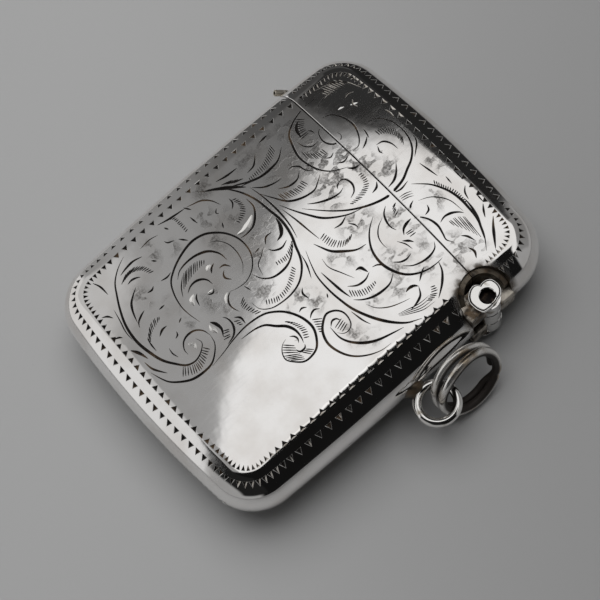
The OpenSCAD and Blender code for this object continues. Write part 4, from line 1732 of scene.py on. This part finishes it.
@dataclass
class Knuckle:
    """A length of hinge tube with its lug, and at either end of the hinge a heart-shaped end plate."""

    name: str
    member: Member
    base: float
    length: float
    bore: float = 0.86
    tube_r: float = 1.4
    bevel: float = 0.1
    plate: int = 0
    plate_t: float = 0.62
    sides: int = 72
    undercut: float = 0.02
    rim: tuple[Pair, ...] = ((0.0, 0.2), (0.05, 0.13), (0.1, 0.13), (0.15, 0.3), (0.22, 0.06), (0.28, 0.0))
    grimed_rows: tuple[int, int] = (9, 10)
    least_wall: float = 0.3
    lug_left: float = 1.9
    lug_right: float = 0.9
    lug_r: float = 3.2
    lug_grip: float = 0.22
    lug_foot: float = 0.3
    lug_ease: float = 0.12
    lug_margin: float = 0.06
    lug_tuck: float = 0.9
    lug_mid: float = 1.6
    notch_to: float = 2.86
    arc_steps: int = 9
    heart: tuple[Pair, ...] = (
        (1.14, -0.98), (1.11, -0.14), (0.98, 0.62), (0.74, 1.3), (0.25, 1.68), (-0.5, 1.8), (-1.2, 1.6), (-1.5, 1.05),
        (-1.45, 0.25), (-1.8, 0.0), (-1.95, -0.37), (-1.8, -0.97), (-1.32, -1.6), (-0.8, -1.9), (-0.15, -1.93),
        (0.54, -1.8), (1.0, -1.58),
    )

    def reach(self, turn: np.ndarray) -> np.ndarray:
        """Half size of the end plate.

        Args:
            turn: Directions about the pin, in radians.

        Returns:
            Its reach in each of them.
        """
        angles = np.array([math.atan2(y, x) for x, y in self.heart])
        radii = np.array([math.hypot(x, y) for x, y in self.heart])
        order = np.argsort(angles)
        found = np.interp(turn, angles[order], radii[order], period=2 * math.pi)
        return np.maximum(found, self.bore + self.least_wall)

    def build(self) -> None:
        """Builds tube, plate and lug as one piece."""
        skin = Skin()
        turn = np.linspace(-math.pi, math.pi, self.sides, endpoint=False)
        tube = np.full(self.sides, self.tube_r)
        heart = self.reach(turn)
        bevel, low, high = self.bevel, self.base, self.base + self.length
        bore = np.full(self.sides, self.bore)
        rows = [(bore, low + bevel), (bore + bevel, low), (tube - bevel, low), (tube, low + bevel)]
        if self.plate:
            shelf = high - self.plate_t
            rows += [(tube, shelf - self.undercut), (heart - bevel, shelf), (heart, shelf + bevel)]
            rows += [(heart - inset, high - drop) for inset, drop in self.rim]
        else:
            rows += [(tube, high - bevel), (tube - bevel, high)]
        rows += [(bore + bevel, high), (bore, high - bevel)]
        rings: list[np.ndarray] = []
        for radius, z in rows:
            if self.plate < 0:
                z = low + high - z
            x, y = FORM.hinge[0] + radius * np.cos(turn), FORM.hinge[1] + radius * np.sin(turn)
            rings.append(skin.add(np.stack([x, y, np.full(self.sides, z)], 1)))
        if self.plate < 0:
            rings = [ring[::-1] for ring in rings]
        # The bore is near-black as painted shade with some dirt; the groove of the end plate is near-black with dirt.
        grooved = self.grimed_rows if self.plate else ()
        for i, (one, two) in enumerate(zip(rings, rings[1:] + rings[:1])):
            skin.quads(one, two, 2 if i in (*grooved, len(rings) - 1) else 0, True)
        self.lug(skin)
        made = skin.build("dressed_" + self.name, [RubbedSilver(), TarnishedSilver(), BlackGrimeAndShade()])
        dress(made, self.member.value, "polished_silver", self.name)

    def lug(self, skin: Skin) -> None:
        """Adds the lug that joins the tube to its seat, with eased edges.

        Args:
            skin: The piece.
        """
        way = self.member.sign
        left, right = (math.asin(x / self.lug_r) for x in (-self.lug_left, self.lug_right))
        arc = [(self.lug_r * math.sin(t), self.lug_r * math.cos(t)) for t in np.linspace(left, right, self.arc_steps)]
        around = self.bore + self.lug_grip
        turns = np.linspace(math.acos(self.lug_right / around), self.notch_to, self.arc_steps)
        notch = [(around * math.cos(t), around * math.sin(t)) for t in turns]
        outline = np.array([(-self.lug_left, self.lug_foot), *arc, *notch])
        margin = 0.0 if self.plate else self.lug_margin
        low, high = self.base + margin, self.base + self.length - margin
        if self.plate > 0:
            high -= self.plate_t * self.lug_tuck
        if self.plate < 0:
            low += self.plate_t * self.lug_tuck
        mid = np.array([(self.lug_right - self.lug_left) / 2, self.lug_mid])
        ease, least = self.lug_ease, 0.2
        rings = []
        for z, shrink in ((low, ease), (low + ease, 0.0), (high - ease, 0.0), (high, ease)):
            points = [p + (mid - p) * shrink / max(np.linalg.norm(mid - p), least) for p in outline]
            ring = skin.add(np.array([(FORM.hinge[0] + x, FORM.hinge[1] + way * y, z) for x, y in points]))
            rings.append(ring[::way])
        skin.tube(rings, 1)


@dataclass
class Striker:
    """The row of ribs across the base for striking a match."""

    half_w: float = 13.5
    low: float = 1.95
    high: float = 5.85
    pitch: float = 0.75
    depth: float = 0.11
    thick: float = 0.32
    rib: tuple[float, ...] = (0.0, 0.36, 0.5, 0.86)
    rib_top: float = 0.005
    fade: float = 0.4
    rows: int = 14

    def build(self) -> None:
        """Builds the ribs on the rolled edge of the base."""
        count = int(2 * self.half_w / self.pitch)
        xs: list[float] = []
        sinks: list[float] = []
        for i in range(count):
            start = -self.half_w + i * self.pitch
            xs += [start + self.pitch * share for share in self.rib]
            sinks += [self.depth, self.depth, self.rib_top, self.rib_top]
        xs.append(self.half_w)
        sinks.append(self.depth)
        skin = Skin()
        outer: list[np.ndarray] = []
        inner: list[np.ndarray] = []
        for z in np.linspace(self.low, self.high, self.rows):
            turn = math.asin((z - FORM.mid_z) / FORM.round_r)
            fade = min(1.0, (z - self.low) / self.fade, (self.high - z) / self.fade)
            for lines, extra in ((outer, 0.0), (inner, self.thick)):
                points = []
                for x, sink in zip(xs, sinks):
                    sunk = extra or self.depth + (sink - self.depth) * fade
                    ball = FORM.round_r - sunk
                    depth = FORM.round_r - ball * math.cos(turn)
                    y = -(FORM.end_c + math.sqrt((FORM.end_r - depth) ** 2 - x**2))
                    points.append((x, y, FORM.mid_z + ball * math.sin(turn)))
                lines.append(skin.add(np.array(points)))
        for one, two in zip(outer, outer[1:]):
            skin.quads(one, two)
        for one, two in zip(inner, inner[1:]):
            skin.quads(two, one)
        skin.quads(inner[0], outer[0])
        skin.quads(outer[-1], inner[-1])
        skin.quads([r[0] for r in outer], [r[0] for r in inner])
        skin.quads([r[-1] for r in inner], [r[-1] for r in outer])
        made = skin.build("dressed_striker_strip", [RubbedSilver()], sharp=20.0)
        dress(made, "body", "worn_silver", "striker_strip")


def sweep(skin: Skin, path: np.ndarray, sections: Sequence[np.ndarray], aim: np.ndarray, closed: bool) -> None:
    """Carries a section along a path.

    Args:
        skin: The piece.
        path: Points of the path.
        sections: One outline for each point: sideways and along the aim.
        aim: The direction that each section keeps upright.
        closed: True where the path runs into its own start.
    """
    if closed:
        way = np.roll(path, -1, 0) - np.roll(path, 1, 0)
    else:
        way = np.gradient(path, axis=0)
    way = way / np.linalg.norm(way, axis=1)[:, None]
    side = np.cross(way, aim)
    side = side / np.linalg.norm(side, axis=1)[:, None]
    up = np.cross(side, way)
    rings = [
        skin.add(p + s[:, :1] * across[None] + s[:, 1:] * rise[None])[::-1]
        for p, s, across, rise in zip(path, sections, side, up)
    ]
    skin.tube(rings, closed=closed)


def rounded_section(half_w: float, half_h: float, power: float, sides: int = 20) -> np.ndarray:
    """An outline between an oval and an oblong.

    Args:
        half_w: Half its width.
        half_h: Half its height.
        power: 2 for an oval; more is squarer.
        sides: Number of points.

    Returns:
        The points, one row each.
    """
    turn = np.linspace(0, 2 * math.pi, sides, endpoint=False)
    c, s = np.cos(turn), np.sin(turn)
    return np.stack(
        [half_w * np.sign(c) * np.abs(c) ** (2 / power), half_h * np.sign(s) * np.abs(s) ** (2 / power)], 1
    )


@dataclass
class SuspensionLoop:
    """The wire loop on the hinge side, with the solder that holds it."""

    centre: Triple = (20.8, 1.43, 5.3)
    loop_r: float = 2.2
    wire_r: float = 0.54
    wear: float = 0.05
    foot_y: float = 0.4
    foot_lean: float = 0.22
    foot_oval: Pair = (0.98, 0.96)
    lumps: Pair = (0.05, 0.03)
    foot: tuple[Pair, ...] = (
        (16.9, 1.5), (17.6, 1.46), (17.95, 1.38), (18.15, 1.22), (18.4, 1.0), (18.6, 0.8), (18.8, 0.5),
    )
    sides: int = 72
    wire_sides: int = 24
    foot_sides: int = 32

    def build_wire(self) -> None:
        """Bends the wire into its loop."""
        turn = np.linspace(0, 2 * math.pi, self.sides, endpoint=False)
        x, y, z = self.centre
        path = np.stack([x + self.loop_r * np.cos(turn), y + self.loop_r * np.sin(turn), np.full(self.sides, z)], 1)
        worn = [1.0 - self.wear * max(0.0, math.cos(t)) for t in turn]
        sections = [rounded_section(self.wire_r * w, self.wire_r, 2.0, self.wire_sides) for w in worn]
        skin = Skin()
        sweep(skin, path, sections, np.array([0.0, 0.0, 1.0]), True)
        made = skin.build("dressed_suspension_loop", [RubbedSilver()])
        dress(made, "body", "polished_silver", "suspension_loop")

    def build_foot(self) -> None:
        """Runs solder between the wire and the case."""
        skin = Skin()
        turn = np.linspace(0, 2 * math.pi, self.foot_sides, endpoint=False)
        wide, tall = self.foot_oval
        coarse, fine = self.lumps
        rings = []
        for i, (x, r) in enumerate(self.foot):
            lump = 1 + coarse * np.sin(3 * turn + i) + fine * np.sin(5 * turn + 2 * i)
            y = self.foot_y + (x - self.foot[0][0]) * self.foot_lean + r * lump * np.cos(turn) * wide
            z = self.centre[2] + r * lump * np.sin(turn) * tall
            rings.append(skin.add(np.stack([np.full(self.foot_sides, x), y, z], 1)))
        skin.tube(rings)
        made = skin.build("dressed_loop_foot", [SEAT_TARNISH])
        dress(made, "body", "tarnished_silver", "loop_foot")


@dataclass
class SplitRing:
    """A ring of two turns of thick wire, which passes through the loop."""

    centre: Triple = (20.84, 5.6, 4.6)
    normal: Triple = (0.93358, 0.0, 0.35837)
    ring_r: float = 3.88
    half_w: float = 0.53
    half_t: float = 0.46
    lift: float = 0.46
    splay: float = 0.6
    splay_at: float = 115.0
    start: float = 335.0
    step: float = 42.0
    end_gap: float = 0.3
    end_turn: float = 4.0
    end_size: float = 0.72
    squareness: float = 2.3
    under_shade: float = 0.8
    stations: int = 220
    sides: int = 24

    def build(self) -> None:
        """Winds the wire: one turn, a step over, and a second turn beside it."""
        up = np.array(self.normal)
        first = np.array([0.0, 1.0, 0.0])
        second = np.cross(up, first)
        turns = np.linspace(0.0, 720.0 - self.step * self.end_gap, self.stations)
        path, sections = [], []
        for turn in turns:
            share = min(max((turn - (360.0 - self.step)) / self.step, 0.0), 1.0)
            rise = self.lift * (2 * (share * share * (3 - 2 * share)) - 1)
            angle = math.radians(self.start + turn)
            open_up = max(0.0, math.cos(angle - math.radians(self.splay_at))) ** 2
            rise += self.splay * open_up * share
            out = math.cos(angle) * first + math.sin(angle) * second
            path.append(np.array(self.centre) + self.ring_r * out + up * rise)
            end = min(turn, turns[-1] - turn) / self.end_turn
            taper = min(1.0, self.end_size + (1 - self.end_size) * end)
            sections.append(rounded_section(self.half_w * taper, self.half_t * taper, self.squareness, self.sides))
        skin = Skin()
        sweep(skin, np.array(path), sections, up, False)
        made = skin.build("dressed_split_ring", [WornWire()])
        out = np.concatenate(skin.points) - self.centre
        reach = np.linalg.norm(out - np.outer(out @ up, up), axis=1)
        # The value is 1 on the outer faces of the wire and falls towards the inside of the ring, which the finish
        # paints black as painted shade with some grime; points below the ring's middle plane are darker still, as
        # painted shade.
        worn = np.clip(0.5 + (reach - self.ring_r) / (2 * self.half_w), 0, 1)
        worn = worn * np.where(out @ up < 0, self.under_shade, 1.0)
        made.data.attributes.new("worn", "FLOAT", "POINT").data.foreach_set("value", worn)
        dress(made, "ring", "ring_wire", "split_ring")


@dataclass
class ThumbLug:
    """The small barrel along the lid's edge that the thumb pushes."""

    tip: Pair = (-19.0, 12.86)
    turned: float = 60.0
    length: float = 1.9
    sink: float = 0.55
    barrel_r: float = 0.38
    hollow_r: float = 0.2
    soft: float = 0.1
    reach: float = 1.5
    neck_at: float = 0.6
    neck_w: float = 0.26
    neck_t: float = 0.8
    neck_steps: int = 6
    squareness: float = 4.0
    sides: int = 28

    def build(self) -> None:
        """Builds the barrel and the neck that holds it."""
        skin = Skin()
        turn = np.linspace(0, 2 * math.pi, self.sides, endpoint=False)
        r, soft, hollow, end = self.barrel_r, self.soft, self.hollow_r, self.length
        angle = math.radians(self.turned)
        along = np.array([math.cos(angle), math.sin(angle), -self.sink]) / math.hypot(1.0, self.sink)
        across = np.array([math.sin(angle), -math.cos(angle), 0.0])
        tip = np.array([*self.tip, FORM.mid_z + self.sink])
        profile = [(hollow * 0.9, 0.25), (hollow, 0.02), (r - soft, 0.0), (r, soft)]
        profile += [(r, end - 0.25), (r * 0.8, end - 0.06), (r * 0.4, end)]
        rim = np.cos(turn)[:, None] * across - np.sin(turn)[:, None] * np.cross(across, along)
        rings = [skin.add(tip + along * far + rim * k) for k, far in profile]
        # The hollow at the barrel's end is near-black: painted shade with some dirt.
        for i, (one, two) in enumerate(zip(rings, rings[1:])):
            skin.quads(one, two, 1 if i == 0 else 0, True)
        skin.face(rings[0][::-1], 1)
        skin.face(rings[-1])
        far = np.linspace(0, self.reach, self.neck_steps)[:, None]
        path = tip + along * end * self.neck_at + far * (1.0, 0.0, 0.0)
        section = rounded_section(end * self.neck_w, r * self.neck_t, self.squareness, self.sides)
        sweep(skin, path, [section] * self.neck_steps, np.array([0.0, 0.0, 1.0]), False)
        made = skin.build("dressed_thumb_lug", [DullSilver(), BlackGrimeAndShade()])
        dress(made, "lid", "polished_silver", "thumb_lug")


@dataclass
class VestaCase:
    """The whole case: shells, hinge, striker, loop and ring."""

    outer: NickBorder = NickBorder(1.9, (1.4, 0.62, 0.74, 1.15, 1.4), 0.86, 0.54, 0.2, points_in=False)
    inner: NickBorder = NickBorder(3.4, (1.35, 0.6, 0.52, 1.05, 1.3), 0.84, 0.52, 0.18)

    def shells(self) -> None:
        """Builds the four half shells; both faces have borders and the front is engraved."""
        engraving = FoliateEngraving()
        for member in Member:
            nicks = [*self.outer.nicks(member), *self.inner.nicks(member)]
            HalfShell(member, Side.FRONT, engraving.strokes(), nicks, engraving.ground).build()
            HalfShell(member, Side.BACK, [], nicks).build()
            HingeSeat(member).build()

    def hinge(self) -> None:
        """Builds the knuckles of the hinge."""
        Knuckle("body_knuckle_front", Member.BODY, 7.02, 3.0, plate=1).build()
        Knuckle("body_knuckle_back", Member.BODY, 1.22, 3.0, plate=-1).build()
        Knuckle("lid_knuckle", Member.LID, 4.3, 2.64, 0.92).build()

    def fittings(self) -> None:
        """Builds the striker, lug, loop and ring, and dresses the bezel and the pin."""
        Striker().build()
        ThumbLug().build()
        loop = SuspensionLoop()
        loop.build_wire()
        loop.build_foot()
        SplitRing().build()
        # The pin is near-black: painted shade in the hinge's bore, with some dirt.
        for node, finish in (("mouth_bezel", DullSilver()), ("hinge_pin", BlackGrimeAndShade())):
            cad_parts[node].data.materials.clear()
            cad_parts[node].data.materials.append(finish.material())
            LOG.info("%s: kept, with a new finish", node)


@dataclass
class Studio:
    """Table, room light and camera."""

    target: Triple = (3.635, -2.353, 10.85)
    azimuth: float = 67.53
    elevation: float = 69.67
    roll: float = -20.12
    distance: float = 181.0
    lens: float = 101.26
    sensor: float = 36.0
    lamp_at: Triple = (-0.115, 0.06, 0.41)
    lamp_size: float = 0.45
    lamp_power: float = 1.7
    marks: tuple[float, ...] = (-900.0, -300.0, 0.0, 300.0, 900.0)

    def table(self) -> None:
        """Lays a flat table top that reaches past the picture on every side."""
        skin = Skin()
        rows = [skin.add(np.array([(x, y, 0.0) for x in self.marks])) for y in self.marks]
        for one, two in zip(rows, rows[1:]):
            skin.quads(one, two)
        skin.build("table_top", [TableTop()])

    def room(self) -> None:
        """Sets the light that the silver mirrors: a bright ceiling, darker walls and one bright strip.

        A layer is a level of light and the ramps that bound it. A ramp is the direction that it follows, where it
        starts and where it is full. Each layer lies over those before it.
        """
        world = bpy.data.worlds.new("room")
        world.use_nodes = True
        bpy.context.scene.world = world
        book = NodeBook(world.node_tree)
        x, y, z = book.parts(book.out(book.node("ShaderNodeTexCoord", {}, {}), "Generated"))
        slant = x * 0.773 + y * 0.634
        bowed = slant - ((y - 0.015) ** 2.0 * 5.5).least(0.012)
        lidward = x - y * 0.8
        tilted = y - x * 0.423
        across = x - y * 0.316
        corner = x + y * 0.114
        near = y.rise(0.19, 0.04) * 0.13 + 0.165
        edge = y.rise(0.05, 0.23) * -0.225 + y.rise(0.02, -0.13) * 0.37 + 0.28
        layers = (
            (0.8, (z, 0.7, 0.8)),
            (0.4, (slant, -0.162, -0.19), (y, 0.15, 0.2), (z, 0.6, 0.7)),
            (near, (bowed, -0.198, -0.211), (z, 0.6, 0.7)),
            (edge, (x, -0.5, -0.66)),
            (0.5, (slant, -0.33, -0.38), (y, 0.04, 0.0), (z, 0.6, 0.7)),
            (0.11, (lidward, -0.6, -0.65), (y, 0.19, 0.24), (z, 0.6, 0.75)),
            (0.025, (tilted, 0.459, 0.467), (x, -0.27, -0.31), (y, 0.245, 0.265), (z, 0.5, 0.65)),
            (0.015, (y, 0.57, 0.62), (x, -0.2, -0.23), (z, -0.05, 0.05)),
            (0.2, (y, 0.57, 0.62), (x, -0.23, -0.2), (x, 0.6, 0.5), (z, 0.1, 0.25)),
            (0.006, (across, -0.055, -0.025), (y, 0.42, 0.36), (y, -0.55, -0.4), (z, -0.02, 0.05)),
            (1.0, (across, -0.13, -0.1), (across, -0.045, -0.062), (y, 0.19, 0.16), (y, 0.0, 0.03)),
            (0.012, (y, -0.28, -0.33), (y, -0.88, -0.8), (corner, -0.318, -0.302), (z, 0.12, 0.25)),
            (0.67, (y, -0.28, -0.33), (z, 0.0, 0.08), (corner, -0.302, -0.318), (x, -0.95, -0.8)),
        )
        light: Any = 0.3
        for level, (first, start, full), *others in layers:
            mask = first.rise(start, full)
            for axis, low, high in others:
                mask = mask * axis.rise(low, high)
            light = light + (level - light) * mask
        shade = book.blend(light, grey(0.0), grey(1.0))
        sky = book.node("ShaderNodeBackground", {}, {"Color": shade, "Strength": 1.0})
        book.node("ShaderNodeOutputWorld", {}, {"Surface": book.out(sky)})

    def lamp(self) -> None:
        """Hangs a soft lamp over the far left."""
        data = bpy.data.lights.new("soft_lamp", "AREA")
        data.shape = "DISK"
        data.size = self.lamp_size
        data.energy = self.lamp_power
        lamp = bpy.data.objects.new("soft_lamp", data)
        lamp.location = self.lamp_at
        lamp.rotation_mode = "QUATERNION"
        lamp.rotation_quaternion = (-lamp.location).to_track_quat("-Z", "Y")
        lamp.visible_glossy = False
        bpy.context.scene.collection.objects.link(lamp)

    def camera(self) -> None:
        """Sets the camera as the photograph was taken."""
        az, el, roll = (math.radians(v) for v in (self.azimuth, self.elevation, self.roll))
        back = Vector((math.sin(az) * math.cos(el), -math.cos(az) * math.cos(el), math.sin(el)))
        right = Vector((math.cos(az), math.sin(az), 0.0))
        up = back.cross(right)
        across = math.cos(roll) * right + math.sin(roll) * up
        rise = math.cos(roll) * up - math.sin(roll) * right
        data = bpy.data.cameras.new("camera")
        data.lens = self.lens
        data.sensor_width = self.sensor
        data.clip_start, data.clip_end = 0.005, 10.0
        camera = bpy.data.objects.new("camera", data)
        turned = Matrix((across, rise, back)).transposed().to_4x4()
        camera.matrix_world = Matrix.Translation((Vector(self.target) + back * self.distance) * MM) @ turned
        bpy.context.scene.collection.objects.link(camera)
        bpy.context.scene.camera = camera

    def build(self) -> None:
        """Sets up the whole studio."""
        self.table()
        self.room()
        self.lamp()
        self.camera()
        bpy.context.scene.view_settings.view_transform = "Standard"


def main() -> None:
    """Builds the studio and the case."""
    logging.basicConfig(level=logging.INFO)
    Studio().build()
    case = VestaCase()
    case.shells()
    case.hinge()
    case.fittings()


if __name__ == "__main__":
    main()
